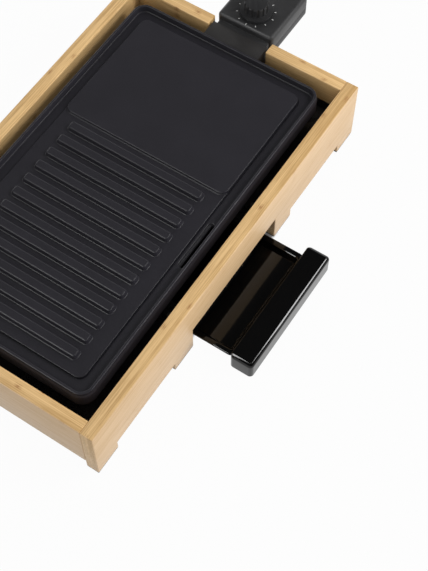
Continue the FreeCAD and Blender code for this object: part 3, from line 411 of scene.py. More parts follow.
def bamboo(name, look, turn, inner):
    """Laminated bamboo; the grain runs along the board and the strips are stacked from its inner face."""
    material, tree, shader = new_material(name)
    wall = look.wall / MM
    place = millimetres(tree, turn=turn, shift=(0.0, -inner / MM, 0.0))
    along, through, height = add_node(tree, "ShaderNodeSeparateXYZ", {0: place}).outputs
    depth = plus(through, ranged(noise(place, 0.012, 2.0), -0.7, 0.7))
    ply = add_node(tree, "ShaderNodeValToRGB", {0: ranged(depth, 0.0, 1.0, 0.0, wall)})
    ramp = ply.color_ramp.elements
    while len(ramp) < len(PLY_TONES):
        ramp.new(0.5)
    for stop, (spot, tone) in zip(ramp, PLY_TONES):
        stop.position = spot
        stop.color = (tone, tone, tone, 1.0)
    row = whole(divided(height, look.strip / MM))
    layer = whole(divided(through, PLY))
    which = result(tree, "ShaderNodeCombineXYZ", {0: row, 1: layer})
    chance = add_node(tree, "ShaderNodeTexWhiteNoise", {"Vector": which},
                      noise_dimensions="3D").outputs["Value"]
    fibre = noise(stretched(place, (0.018, 0.85, 0.85)), 1.0, 6.0, 0.62)
    fleck = ranged(noise(stretched(place, (0.07, 1.5, 1.5)), 1.0, 2.0), 0.0, 1.0, 0.57, 0.72)
    cloud = noise(place, 0.009, 2.0)
    outer = ranged(through, 0.0, 1.0, wall - 1.2, wall - 0.3)
    # knuckles of the cane, at a different place in each strip, broken up along the fibres
    start = plus(times(layer, LAYER_SHIFT), times(row, ROW_SHIFT))
    cane = plus(divided(along, CANE), plus(start, CANE_START))
    wobble = ranged(noise(place, 0.35, 2.0), -0.012, 0.012)
    ring = unsigned(minus(fraction(plus(cane, wobble)), 0.5))
    knuckle = times(ranged(ring, 1.0, 0.0, 0.0, 0.016), ranged(fibre, 0.0, 1.0, 0.38, 0.55))
    knuckle = times(knuckle, ranged(outer, 1.0, 0.12))
    streak = plus(ranged(fibre, -0.62, 0.62, *FIBRE_SPAN), ranged(cloud, -0.16, 0.16, *FIBRE_SPAN))
    streak = plus(streak, ranged(chance, -0.07, 0.07))
    ripe = plus(ply.outputs[0], ranged(along, 0.38, 0.0, -120.0, -30.0))
    wood = mix(ranged(plus(ripe, streak), 0.0, 1.0), look.light, look.dark)
    face = mix(ranged(plus(streak, 0.22), 0.0, 1.0, 0.0, 1.6), look.face, look.dark)
    wood = mix(outer, wood, face)
    wood = mix(times(fleck, ranged(outer, 0.34, 0.12)), wood, FLECK_TINT)
    feed(shader, {"Base Color": mix(knuckle, wood, KNUCKLE_TINT),
                  "Roughness": ranged(fibre, 0.34, 0.52, *FIBRE_SPAN),
                  "Normal": relief(minus(fibre, knuckle), 0.06, 0.6), "Specular IOR Level": 0.3,
                  "Coat Weight": 0.1, "Coat Roughness": 0.22})
    return material


def coated_black(look):
    """Sprayed non-stick coating: fine pebbled skin with a slight sheen."""
    material, tree, shader = new_material("nonstick_coating")
    place = millimetres(tree)
    pebble, cloud = noise(place, 1.3, 3.0, 0.6), noise(place, 0.02, 3.0)
    sparkle = ranged(noise(place, 3.2, 1.0), 0.0, 1.0, 0.66, 0.74)
    tone = ranged(plus(times(pebble, 0.7), times(cloud, 0.3)), 0.0, 1.0, *NOISE_SPAN)
    base = mix(tone, toned(look.coat, 0.82), toned(look.coat, 1.22))
    feed(shader, {"Base Color": mix(times(sparkle, 0.3), base, (0.06, 0.06, 0.065)),
                  "Roughness": ranged(pebble, 0.38, 0.48, *NOISE_SPAN),
                  "Normal": relief(pebble, 0.05, 0.7), "IOR": 1.38})
    return material


def gloss_black(look):
    """Polished moulding: a slow waviness and faint rub marks in the gloss."""
    material, tree, shader = new_material("gloss_black")
    wave = noise(millimetres(tree), 0.03, 2.0)
    rub = noise(millimetres(tree, (0.15, 2.0, 2.0)), 1.0, 4.0)
    feed(shader, {"Base Color": mix(wave, toned(look.gloss, 0.8), toned(look.gloss, 1.2)),
                  "Roughness": ranged(rub, 0.045, 0.1, 0.4, 0.7),
                  "Normal": relief(wave, 0.12, 0.5), "IOR": 1.41})
    return material


def clear_tint(name, tint, thick):
    """Clear moulded plastic or glass with a tint and slight flow marks."""
    material, tree, shader = new_material(name)
    flow = noise(millimetres(tree), 0.4, 2.0)
    feed(shader, {"Base Color": mix(flow, tint, toned(tint, thick)),
                  "Roughness": ranged(flow, 0.06, 0.16), "Transmission Weight": 0.6})
    return material


FINISHES = {}


def finishes():
    """The shared finishes, made once."""
    if not FINISHES:
        FINISHES.update(
            enamel=finish("black_enamel", (0.006, 0.006, 0.0065), (0.012, 0.012, 0.0125), (0.22, 0.38),
                          0.9, 0.03),
            zinc=finish("zinc_plate", (0.42, 0.42, 0.43), (0.62, 0.61, 0.58), (0.28, 0.46), 0.7, 0.01, 1.0),
            bright=finish("bright_sheet", (0.70, 0.70, 0.71), (0.84, 0.84, 0.85), (0.2, 0.36), 0.3, 0.006,
                          1.0, (0.02, 1, 1)),
            heater=finish("heater_sheath", (0.17, 0.15, 0.14), (0.34, 0.29, 0.24), (0.35, 0.55), 0.5, 0.01,
                          1.0, cloud=18.0),
            phenolic=finish("phenolic_black", (0.012, 0.011, 0.011), (0.028, 0.026, 0.025), (0.42, 0.6),
                            0.5, 0.02),
            rubber=finish("soft_rubber", (0.022, 0.021, 0.02), (0.05, 0.048, 0.045), (0.6, 0.8), 0.6, 0.03),
            silicone=finish("silicone_red", (0.22, 0.035, 0.025), (0.33, 0.06, 0.045), (0.45, 0.62),
                            0.8, 0.02),
            ceramic=finish("glazed_white", (0.68, 0.66, 0.60), (0.80, 0.78, 0.72), (0.14, 0.3), 2.0, 0.01),
            pin=finish("bright_pin", (0.72, 0.72, 0.73), (0.84, 0.84, 0.85), (0.1, 0.2), 0.4, 0.004, 1.0,
                       (0.1, 1, 1)),
            brass=finish("contact_brass", (0.62, 0.42, 0.15), (0.78, 0.58, 0.25), (0.22, 0.4), 0.6, 0.006,
                         1.0),
            shell=finish("control_moulding", (0.016, 0.016, 0.017), (0.03, 0.03, 0.031), (0.4, 0.55),
                         0.35, 0.03),
            satin=finish("knob_moulding", (0.014, 0.014, 0.015), (0.026, 0.026, 0.027), (0.3, 0.42),
                         0.6, 0.012),
            print=finish("white_print", (0.70, 0.70, 0.69), (0.82, 0.82, 0.81), (0.45, 0.6), 0.4, 0.0),
            beech=finish("beech", (0.48, 0.31, 0.16), (0.64, 0.45, 0.26), (0.5, 0.7), 0.8, 0.03,
                         stretch=(1, 0.08, 1)),
            lens=clear_tint("red_lens", (0.70, 0.03, 0.02), 0.7),
            lamp=clear_tint("lamp_glass", (0.92, 0.78, 0.62), 0.9),
        )
    return FINISHES


# Geometry Nodes trees. Each has its finish as its last input.

def geometry_tree(name, *sockets):
    """An empty geometry tree with named inputs, and the sockets they come in by."""
    tree = bpy.data.node_groups.new(name, "GeometryNodeTree")
    for label, kind in (("Geometry", "Geometry"), *sockets, ("Finish", "Material")):
        tree.interface.new_socket(label, in_out="INPUT", socket_type=f"NodeSocket{kind}")
    tree.interface.new_socket("Geometry", in_out="OUTPUT", socket_type="NodeSocketGeometry")
    return tree, tree.nodes.new("NodeGroupInput").outputs


def end_tree(tree, enter, copies):
    """Realize the copies, give them their finish and pass them out."""
    real = result(tree, "GeometryNodeRealizeInstances", {"Geometry": copies})
    add_node(tree, "NodeGroupOutput", {0: result(tree, "GeometryNodeSetMaterial", {
        "Geometry": real, "Material": enter["Finish"]})})
    return tree


def run_tree(item, tree, **given):
    """Run a tree on an object with its inputs set by name, and keep the result as a plain mesh."""
    modifier = item.modifiers.new(tree.name, "NODES")
    modifier.node_group = tree
    for socket in tree.interface.items_tree:
        if socket.in_out == "INPUT" and socket.name in given:
            modifier[socket.identifier] = given[socket.name]
    return settle(item)


def lifted(shape, height):
    """Move a shape up by a socket's value."""
    up = result(shape.id_data, "ShaderNodeCombineXYZ", {2: height})
    return result(shape.id_data, "GeometryNodeTransform", {"Geometry": shape, "Translation": up})


def gathered(node, index, shapes):
    """Link several shapes to one input of a node, and take its output."""
    for shape in shapes:
        node.id_data.links.new(shape, node.inputs[index])
    return node.outputs[0]


def on_points(tree, enter, shape):
    """Stand a shape on each point, with its Z along the point's own direction."""
    way = result(tree, "GeometryNodeInputNamedAttribute", {"Name": "way"}, data_type="FLOAT_VECTOR")
    turn = result(tree, "FunctionNodeAlignRotationToVector", {"Vector": way}, axis="Z")
    return end_tree(tree, enter, result(tree, "GeometryNodeInstanceOnPoints", {
        "Points": enter["Geometry"], "Instance": shape, "Rotation": turn}))


def row_tree():
    """Copies of a piece in a straight row."""
    tree, enter = geometry_tree("piece_row", ("Count", "Int"), ("Step", "Vector"))
    line = result(tree, "GeometryNodeMeshLine", {"Count": enter["Count"], "Offset": enter["Step"]})
    return end_tree(tree, enter, result(tree, "GeometryNodeInstanceOnPoints", {
        "Points": line, "Instance": enter["Geometry"]}))


def screw_tree():
    """Cross-recess screws that stand on points: a chamfered head above the seat and a shank below it."""
    names = ("Head radius", "Head height", "Shank radius", "Shank length")
    tree, enter = geometry_tree("screws", *((n, "Float") for n in names))
    head_r, head_h, shank_r, shank_l = (enter[n] for n in names)
    half = times(head_h, 0.5)
    drum = result(tree, "GeometryNodeMeshCylinder", {"Vertices": 32, "Radius": head_r, "Depth": half})
    crown = result(tree, "GeometryNodeMeshCone", {
        "Vertices": 32, "Radius Top": times(head_r, 0.72), "Radius Bottom": head_r, "Depth": half})
    solid = gathered(add_node(tree, "GeometryNodeMeshBoolean", operation="UNION"), 1,
                     (lifted(drum, times(head_h, 0.25)), lifted(crown, half)))
    bars = []
    arm, thin = times(head_r, 1.15), times(head_r, 0.26)
    for wide, deep in ((arm, thin), (thin, arm)):
        size = result(tree, "ShaderNodeCombineXYZ", {0: wide, 1: deep, 2: head_h})
        bars.append(lifted(result(tree, "GeometryNodeMeshCube", {"Size": size}), times(head_h, 0.95)))
    head = gathered(add_node(tree, "GeometryNodeMeshBoolean", {0: solid}, operation="DIFFERENCE"), 1, bars)
    shank = result(tree, "GeometryNodeMeshCylinder", {"Vertices": 20, "Radius": shank_r, "Depth": shank_l})
    return on_points(tree, enter, gathered(add_node(tree, "GeometryNodeJoinGeometry"), 0,
                                           (head, lifted(shank, times(shank_l, -0.5)))))


def rivet_tree():
    """Rivets that stand on points: a low tapered head on each side of the joined sheets."""
    names = ("Head radius", "Head height", "Shank radius", "Grip")
    tree, enter = geometry_tree("rivets", *((n, "Float") for n in names))
    head_r, head_h, shank_r, grip = (enter[n] for n in names)
    shapes = []
    taper = times(head_r, 0.55)
    below = minus(times(grip, -0.5), head_h)
    for level, top, bottom in ((below, head_r, taper), (times(grip, 0.5), taper, head_r)):
        cone = result(tree, "GeometryNodeMeshCone", {
            "Vertices": 28, "Radius Top": top, "Radius Bottom": bottom, "Depth": head_h})
        shapes.append(lifted(cone, level))
    shapes.append(result(tree, "GeometryNodeMeshCylinder", {
        "Vertices": 20, "Radius": shank_r, "Depth": grip}))
    return on_points(tree, enter, gathered(add_node(tree, "GeometryNodeJoinGeometry"), 0, shapes))


def tick_tree():
    """Printed marks along an arc round the dial."""
    names = ("Radius", "Start", "Sweep", "Mark length", "Mark width", "Mark height")
    tree, enter = geometry_tree("dial_ticks", *((n, "Float") for n in names), ("Count", "Int"),
                                ("Centre", "Vector"))
    radius, start, sweep, *sides = (enter[n] for n in names)
    arc = result(tree, "GeometryNodeCurveArc", {
        "Resolution": 64, "Radius": radius, "Start Angle": start, "Sweep Angle": sweep})
    spots = result(tree, "GeometryNodeCurveToPoints", {"Curve": arc, "Count": enter["Count"]}, mode="COUNT")
    size = result(tree, "ShaderNodeCombineXYZ", dict(enumerate(sides)))
    bar = result(tree, "GeometryNodeMeshCube", {"Size": size})
    turn = result(tree, "FunctionNodeAlignRotationToVector", {
        "Vector": result(tree, "GeometryNodeInputPosition")}, axis="X")
    copies = result(tree, "GeometryNodeInstanceOnPoints", {
        "Points": spots, "Instance": bar, "Rotation": turn})
    return end_tree(tree, enter, result(tree, "GeometryNodeTransform", {
        "Geometry": copies, "Translation": enter["Centre"]}))


def point_set(name, spots):
    """A mesh of loose points, each with the direction that its fastener's head faces."""
    mesh = bpy.data.meshes.new(name)
    mesh.from_pydata([p for p, _ in spots], [], [])
    ways = mesh.attributes.new("way", "FLOAT_VECTOR", "POINT")
    for item, (_, way) in zip(ways.data, spots):
        item.vector = way
    return add_object(name, mesh)


def fastener_spots(node):
    """Seat point and head direction of each screw in a node, and their sizes, read from its solids."""
    spots, sizes = [], None
    for solid in islands(node):
        low, high = corners(solid)
        point = (low + high) / 2
        axis = max(range(3), key=lambda i: high[i] - low[i])
        across = [i for i in range(3) if i != axis]
        reach = {}
        for p in solid:
            level = round(p[axis], 5)
            wide = math.hypot(*(p[i] - point[i] for i in across))
            reach[level] = max(reach.get(level, 0.0), wide)
        levels = sorted(reach)
        head_radius = max(reach.values())
        if reach[levels[0]] > reach[levels[-1]]:
            levels.reverse()
        seat = next(v for v in levels if reach[v] > 0.9 * head_radius)
        way = Vector((0.0, 0.0, 0.0))
        way[axis] = 1.0 if levels[-1] > levels[0] else -1.0
        point[axis] = seat
        spots.append((point, way))
        sizes = {"Head radius": head_radius, "Head height": abs(levels[-1] - seat),
                 "Shank radius": reach[levels[0]], "Shank length": abs(seat - levels[0])}
    return spots, sizes


# Operators, one for each piece or group of like pieces.

class GrillOperator:
    bl_options = {"REGISTER", "UNDO"}

    def execute(self, context):
        self.build(context.scene)
        return {"FINISHED"}


class EasingOperator(GrillOperator):
    """Eases some nodes of a body, given with their finish and slot, and only finishes the plain ones"""

    def build(self, scene):
        for node, name, slot in self.eased:
            piece(f"{node}_{self.ending}", softened(node, self.ease), finishes()[name], self.body, node)
        for node, name in self.plain:
            paint(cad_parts[node], finishes()[name])


class GRILL_OT_rails(GrillOperator, bpy.types.Operator):
    """Build the four bamboo boards of the frame"""
    bl_idname = "grill.rails"
    bl_label = "Bamboo rails"

    foot: length("Foot", "Length of a foot", 34.0)
    lift: length("Lift", "Height of the gaps between the feet", 14.0)
    notch: length("Notch", "Width of the tray's notch", 161.0)
    notch_top: length("Notch top", "Height of the tray's notch", 37.0)
    inlet: length("Inlet", "Half width of the control's notch", 38.5)
    inlet_low: length("Inlet floor", "Level of the control's notch", 57.1)

    def build(self, scene):
        look = scene.grill_bamboo
        for label, middle in (("front_rail", self.notch_top), ("rear_rail", self.lift)):
            low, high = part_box(label)
            near, far, end = -self.notch / 2, -self.notch / 2 - self.foot, low.x + self.foot
            half = [(near, middle), (near, low.z), (far, low.z), (far, self.lift), (end, self.lift),
                    (end, low.z), (low.x, low.z), (low.x, high.z)]
            points = half + [(-x, z) for x, z in reversed(half)]
            sides = [[(x, y, z) for x, z in points] for y in (low.y, high.y)]
            turn, inner = (math.pi, -high.y) if low.y < 0 else (0.0, low.y)
            self.add_board(label, sides, look, turn, inner)
        for label in ("left_rail", "right_rail"):
            low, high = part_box(label)
            points = [(low.y, low.z), (high.y, low.z), (high.y, high.z)]
            if low.x > 0:
                points += [(self.inlet, high.z), (self.inlet, self.inlet_low),
                           (-self.inlet, self.inlet_low), (-self.inlet, high.z)]
            points.append((low.y, high.z))
            sides = [[(x, y, z) for y, z in points] for x in (low.x, high.x)]
            turn, inner = (-math.pi / 2, -high.x) if low.x < 0 else (math.pi / 2, low.x)
            self.add_board(label, sides, look, turn, inner)

    def add_board(self, label, sides, look, turn, inner):
        """A board with eased edges between two upright outlines."""
        bm = bmesh.new()
        skin(bm, sides)
        bmesh.ops.recalc_face_normals(bm, faces=bm.faces[:])
        ease(bm, bm.edges[:], look.edge, 3)
        wood = bamboo(f"bamboo_{label}", look, turn, inner)
        piece(f"{label}_board", mesh_from(bm, label), wood, "frame", label)


def plate_rings(look, low, high):
    """The plate's casting as rings, from the underside over the skirt and lip to the cooking floor."""
    top, bottom, wall, lip = (v / MM for v in (high.z, low.z, look.wall, look.lip))
    floor, under = top - look.floor_drop / MM, top - look.under / MM
    gutter = floor - look.gutter_drop / MM
    island = lip + look.gutter / MM
    skirt = (
        (wall + 6, under), (wall + 2.2, under), (wall + 0.8, under - 0.5), (wall + 0.2, under - 1.8),
        (wall, bottom + 0.5), (wall - 0.5, bottom), (0.5, bottom), (0, bottom + 0.5), (0, top - 6),
        (0.12, top - 5.6), (0.95, top - 4.1), (1.1, top - 3.8), (1.2, top - 0.45), (1.95, top),
        (lip - 0.6, top), (lip - 0.1, top - 0.3), (lip, top - 0.7), (lip + 0.55, gutter + 1.7),
        (lip + 0.8, gutter + 0.9), (lip + 1.4, gutter + 0.3), (lip + 2.4, gutter), (lip + 3.2, gutter))
    middle = (
        (island - 1.15, gutter), (island - 0.95, gutter - 0.15), (island - 0.85, gutter - 0.9),
        (island - 0.1, gutter - 0.9), (island + 0.12, floor - 0.25), (island + 0.55, floor),
        (island + 1.6, floor))
    box = (low.x, high.x, low.y, high.y)
    return (profile_rings(box, look.corner, skirt, 12)
            + profile_rings(box, look.flat_corner + island * MM, middle, 12))


class GRILL_OT_plate(GrillOperator, bpy.types.Operator):
    """Build the cast plate with its lip, gutter, drain slot, smooth zone and feet"""
    bl_idname = "grill.plate"
    bl_label = "Grill plate"

    boss: length("Boss", "Radius of the bosses underneath", 9.0)
    boss_drop: length("Boss drop", "Height of the bosses underneath", 5.0)

    def build(self, scene):
        look = scene.grill_plate
        low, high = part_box("grill_plate")
        plate = add_object("plate_casting", shell("plate_casting", plate_rings(look, low, high)))
        self.carve_drain(plate, look, low, high)
        bm = bmesh.new()
        bm.from_mesh(plate.data)
        self.add_flat_zone(bm, look, low, high)
        self.add_spout(bm, look, low, high.z - look.under)
        self.add_bosses(bm, high.z - look.under)
        plate.data = mesh_from(bm, "plate_casting")
        piece("plate_casting", plate, coated_black(look), "plate", "grill_plate", CRISP_ANGLE)

    def drain_ring(self, look, low, level, ends, front, rear):
        """One outline of the drain: the slot, drawn in by three insets in millimetres."""
        y = low.y + look.drain_y
        half_x, half_y = look.drain_length / 2 - ends * MM, look.drain_width / 2
        deep = look.drain_width - (front + rear) * MM
        return outline(look.drain_x - half_x, look.drain_x + half_x, y - half_y + front * MM,
                       y + half_y - rear * MM, deep / 2 - SLACK, level, 10)

    def carve_drain(self, plate, look, low, high):
        """Cut the drain slot: a bevelled rear edge, a step and a shelf that slopes to the hole."""
        gutter = high.z - look.floor_drop - look.gutter_drop
        # level from the gutter, then the insets
        shape = ((-9.5, 0.7, 0.3, 4.3), (-3.2, 0.6, 0.3, 3.8), (-2.9, 0.55, 0.25, 3.0),
                 (-1.98, 0.5, 0.25, 1.4), (-1.85, 0.45, 0.2, 0.85), (-0.5, 0.3, 0.15, 0.75),
                 (-0.38, 0.0, 0.1, 0.6), (0.02, -0.8, -0.2, -0.5), (2.0, -2.0, -0.4, -0.7))
        rings = [self.drain_ring(look, low, gutter + z * MM, *insets) for z, *insets in shape]
        cutter = add_object("drain_cutter", shell("drain_cutter", rings))
        cut = plate.modifiers.new("drain", "BOOLEAN")
        cut.operation = "DIFFERENCE"
        cut.solver = "EXACT"
        cut.object = cutter
        settle(plate)
        bpy.data.objects.remove(cutter)

    def add_spout(self, bm, look, low, under):
        """The spout round the drain on the underside."""
        wall, drop = look.spout_wall / MM, look.spout_drop / MM
        # level from the underside, then the insets
        shape = [(z, grow, grow, grow) for z, grow in (
            (0.4, -wall - 0.6), (-0.4, -wall - 0.15), (-1.0, -wall), (0.4 - drop, -wall),
            (-drop, 0.4 - wall), (-drop, -0.3), (0.4 - drop, 0.0))]
        shape += [(-0.8, 0.75, 0.35, 4.3), (0.12, 0.65, 0.32, 3.9)]
        skin(bm, [self.drain_ring(look, low, under + z * MM, *insets) for z, *insets in shape], closed=True)

    def add_flat_zone(self, bm, look, low, high):
        """The smooth zone, a step above the floor, with a narrow ledge along its inner side."""
        floor, rise = high.z - look.floor_drop, look.flat_rise / MM
        island = look.lip + look.gutter
        edge = island + 0.1 * MM
        left = high.x - island - look.flat_length
        rings = []
        for inset, side, z in ((0.0, -1.1, -0.8), (0.0, -1.1, 0.02), (0.0, 0.0, 0.55),
                               (0.1, 0.8, rise - 0.4), (0.6, 1.55, rise), (1.5, 2.4, rise)):
            d = edge + inset * MM
            rings.append(outline(left + side * MM, high.x - d, low.y + d, high.y - d,
                                 look.flat_corner - inset * MM, floor + z * MM, 12))
        skin(bm, rings)

    def add_bosses(self, bm, under):
        """Round feet that stand on the posts."""
        r, root, end = self.boss, under / MM, (under - self.boss_drop) / MM
        profile = ((-1.2, root + 0.5), (-0.4, root - 0.4), (0.0, root - 1.2), (0.0, end + 0.5),
                   (0.5, end), (1.2, end))
        for solid in islands("post_caps"):
            x, y, _ = sum(corners(solid), Vector()) / 2
            skin(bm, profile_rings((x - r, x + r, y - r, y + r), r - SLACK, profile, 8))


class GRILL_OT_ribs(GrillOperator, bpy.types.Operator):
    """Build the row of raised ribs on the plate"""
    bl_idname = "grill.ribs"
    bl_label = "Ribs"

    end_round: length("End radius", "Corner radius at the ends of a rib's top", 2.5)
    ledge: length("Ledge", "Width of the bevel at a rib's foot", 0.7)
    bevel: length("Bevel", "Width of the bevel along a rib's top", 0.85)
    bevel_slope: FloatProperty(name="Bevel slope", description="Height of a bevel for its width",
                               default=0.53)
    draft: degrees("Draft", "Slope of a rib's sides from upright", 17)

    def build(self, scene):
        look = scene.grill_plate
        low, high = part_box("grill_plate")
        floor, island = high.z - look.floor_drop, look.lip + look.gutter
        x = high.x - island - look.flat_length - look.rib_from_flat
        half, height = look.rib_width / 2, look.rib_height
        slope = math.tan(self.draft)
        foot = height * slope
        reach = high.y - island - look.rib_end_gap - foot
        bevel, ledge, sunk = self.bevel, self.ledge, 0.02 * MM
        rings = []
        for grow, z in ((foot + ledge, -0.5 * MM), (foot + ledge, sunk),
                        (foot, sunk + ledge * self.bevel_slope), (0.5 * slope * MM, height - 0.5 * MM),
                        (0.0, height - bevel * self.bevel_slope), (-bevel, height),
                        (-bevel - 0.6 * MM, height)):
            wide, deep = half + grow, reach + grow
            rings.append(outline(x - wide, x + wide, -deep, deep,
                                 min(self.end_round + grow, wide - 0.05 * MM), floor + z, 8))
        ribs = add_object("plate_ribs", shell("plate_ribs", rings))
        coat = bpy.data.materials["nonstick_coating"]
        run_tree(ribs, row_tree(), Count=look.rib_count, Step=(-look.rib_pitch, 0.0, 0.0), Finish=coat)
        piece("plate_ribs", ribs, coat, "plate", "grill_plate", CRISP_ANGLE)


class GRILL_OT_tray(GrillOperator, bpy.types.Operator):
    """Build the gloss drip tray"""
    bl_idname = "grill.tray"
    bl_label = "Drip tray"

    rim_wall: length("Rim wall", "Thickness of the rim", 2.0)

    def build(self, scene):
        look = scene.grill_tray
        low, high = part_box("drip_tray")
        base, top = low.z / MM, high.z / MM
        floor, under = base + look.wall / MM, top - self.rim_wall / MM
        rim = (low.x, high.x, low.y, high.y)
        tub = (low.x + look.rim, high.x - look.rim, low.y + look.front_rim, high.y - look.rim)
        outside = tuple(v + s * look.wall for v, s in zip(tub, (-1, 1, -1, 1)))
        rings = profile_rings(outside, look.corner + look.wall, (
            (3.4, base), (2.4, base), (0.7, base + 0.7), (0, base + 2), (0, under - 0.3),
            (-0.3, under)), 10)
        rings += profile_rings(rim, look.rim_corner, (
            (0.5, under), (0, under + 0.5), (0, top - 1), (0.2, top - 0.55), (0.3, top - 0.46),
            (0.95, top - 0.04), (1.1, top), (1.6, top)), 10)
        rings += profile_rings(tub, look.corner, (
            (-2.2, top), (-1.75, top - 0.06), (-0.45, top - 0.72), (-0.1, top - 1), (0, top - 1.4),
            (0.3, top - 2.8), (3.3, floor + 0.8), (3.5, floor + 0.3), (3.8, floor, 0.1),
            (3.95, floor)), 10)
        bm = bmesh.new()
        skin(bm, rings)
        front_low = (outside[0], low.y, low.z)
        front_high = (outside[1], low.y + look.wall, (under + 0.5) * MM)
        for v in bmesh.ops.create_cube(bm, size=1.0)["verts"]:
            v.co = Vector([a if c < 0 else b for c, a, b in zip(v.co, front_low, front_high)])
        piece("tray_tub", mesh_from(bm, "tray_tub"), gloss_black(look), "tray", "drip_tray")


def rounded(size, facet):
    """A rounded edge with a narrow facet in it, as pairs of depth below the top and distance drawn in."""
    bends = ((26, 0.15 * size / MM), (8, facet), (56, 0.62 * size / MM))  # degrees turned, length in mm
    steps, angle, along, depth = 8, 0.0, 0.0, 0.0
    points = [(0.0, 0.0)]
    for turn, run in bends:
        step = math.radians(turn) / steps
        for _ in range(steps):
            angle += step
            along += run / steps * math.cos(angle - step / 2) * MM
            depth += run / steps * math.sin(angle - step / 2) * MM
            points.append((depth, along))
    return [(d, along - a) for d, a in points]


def drawn_in(points, depth):
    """How far a rounded edge is drawn in at a depth."""
    for (d0, a0), (d1, a1) in zip(points, points[1:]):
        if d0 <= depth <= d1:
            return a0 + (a1 - a0) * (depth - d0) / (d1 - d0)
    return 0.0


class GRILL_OT_handle(GrillOperator, bpy.types.Operator):
    """Build the tray's rounded gloss handle"""
    bl_idname = "grill.handle"
    bl_label = "Tray handle"

    corner: length("Corner", "Radius of the handle's upright corners", 4.5)

    def build(self, scene):
        look = scene.grill_tray
        low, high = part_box("tray_handle")
        wall = look.handle_wall
        roof = high.z - wall
        curves = (rounded(look.handle_end, 2.1), rounded(look.handle_round, 2.1),
                  rounded(look.handle_round / 2, 0.3))  # the ends, the front and the rear
        rings = []

        def ring(across, near, far, z):
            rings.append(outline(low.x + across, high.x - across, low.y + near, high.y - far,
                                 max(self.corner - near, 0.5 * MM), z, 10))

        for inset, z in ((4.0 * MM, roof), (1.0 * MM, roof), (0.0, roof - 1.0 * MM),
                         (0.0, low.z + 0.4 * MM), (-0.4 * MM, low.z)):
            ring(2 * wall + inset, wall + inset, wall + inset, z)
        for inset, z in ((0.5 * MM, low.z), (0.0, low.z + 0.5 * MM)):
            ring(inset, inset, inset, z)
        for depth in sorted({d for curve in curves for d, _ in curve}, reverse=True):
            ring(*(drawn_in(curve, depth) for curve in curves), high.z - depth)
        ring(*(curve[0][1] + 1.0 * MM for curve in curves), high.z)
        gloss = bpy.data.materials["gloss_black"]
        piece("handle_bar", shell("handle_bar", rings), gloss, "tray", "tray_handle")


class GRILL_OT_sheets(EasingOperator, bpy.types.Operator):
    """Ease the folded sheets: base pan, tray runners and reflector"""
    bl_idname = "grill.sheets"
    bl_label = "Sheet parts"
    body, ending, plain = "frame", "sheet", ()
    eased = (("base_pan", "enamel", "black_sheet"), ("tray_runner_left", "enamel", "black_sheet"),
             ("tray_runner_right", "enamel", "black_sheet"), ("heat_reflector", "bright", "bright_sheet"))

    ease: length("Ease", "Radius of the sheet edges", 0.25)


class GRILL_OT_fasteners(GrillOperator, bpy.types.Operator):
    """Build all screws and rivets where the frame has them"""
    bl_idname = "grill.fasteners"
    bl_label = "Fasteners"

    rivet_head: length("Rivet head", "Height of a rivet's head", 1.0)
    rivet_shank: length("Rivet shank", "Radius of a rivet's shank", 1.6)

    def build(self, scene):
        zinc = finishes()["zinc"]
        tree = screw_tree()
        for node, body in (("pan_screws", "frame"), ("post_screws", "frame"), ("clamp_screws", "plate"),
                           ("shroud_screws", "plate"), ("control_screws", "control"),
                           ("handle_screws", "tray")):
            spots, sizes = fastener_spots(node)
            item = run_tree(point_set(node, spots), tree, Finish=zinc, **sizes)
            piece(f"{node}_set", item, zinc, body, node)
        spots = []
        for solid in islands("runner_rivets"):
            low, high = corners(solid)
            spots.append(((low + high) / 2, Vector((0.0, 0.0, 1.0))))
        item = run_tree(point_set("runner_rivets", spots), rivet_tree(), Finish=zinc, **{
            "Head radius": (high.x - low.x) / 2, "Head height": self.rivet_head,
            "Shank radius": self.rivet_shank, "Grip": high.z - low.z - 2 * self.rivet_head})
        piece("runner_rivets_set", item, zinc, "frame", "runner_rivets")


class GRILL_OT_supports(EasingOperator, bpy.types.Operator):
    """Ease the posts, caps and foot pads, and finish the dowels"""
    bl_idname = "grill.supports"
    bl_label = "Supports"
    body, ending, plain = "frame", "set", (("corner_dowels", "beech"),)
    eased = (("support_posts", "phenolic", "phenolic"), ("post_caps", "silicone", "silicone"),
             ("foot_pads", "rubber", "pad_rubber"))

    ease: length("Ease", "Radius of the eased edges", 0.4)


class GRILL_OT_heater(EasingOperator, bpy.types.Operator):
    """Finish the heater ring, its clamps, terminals and inlet guard"""
    bl_idname = "grill.heater"
    bl_label = "Heater"
    body, ending, plain = "plate", "eased", (("heating_element", "heater"),)
    eased = (("element_clamps", "zinc", "zinc_steel"), ("inlet_shroud", "phenolic", "phenolic"),
             ("terminal_bushes", "ceramic", "ceramic"), ("terminal_pins", "pin", "plated_pin"),
             ("probe_socket", "zinc", "zinc_steel"))

    ease: length("Ease", "Radius of the eased edges", 0.3)


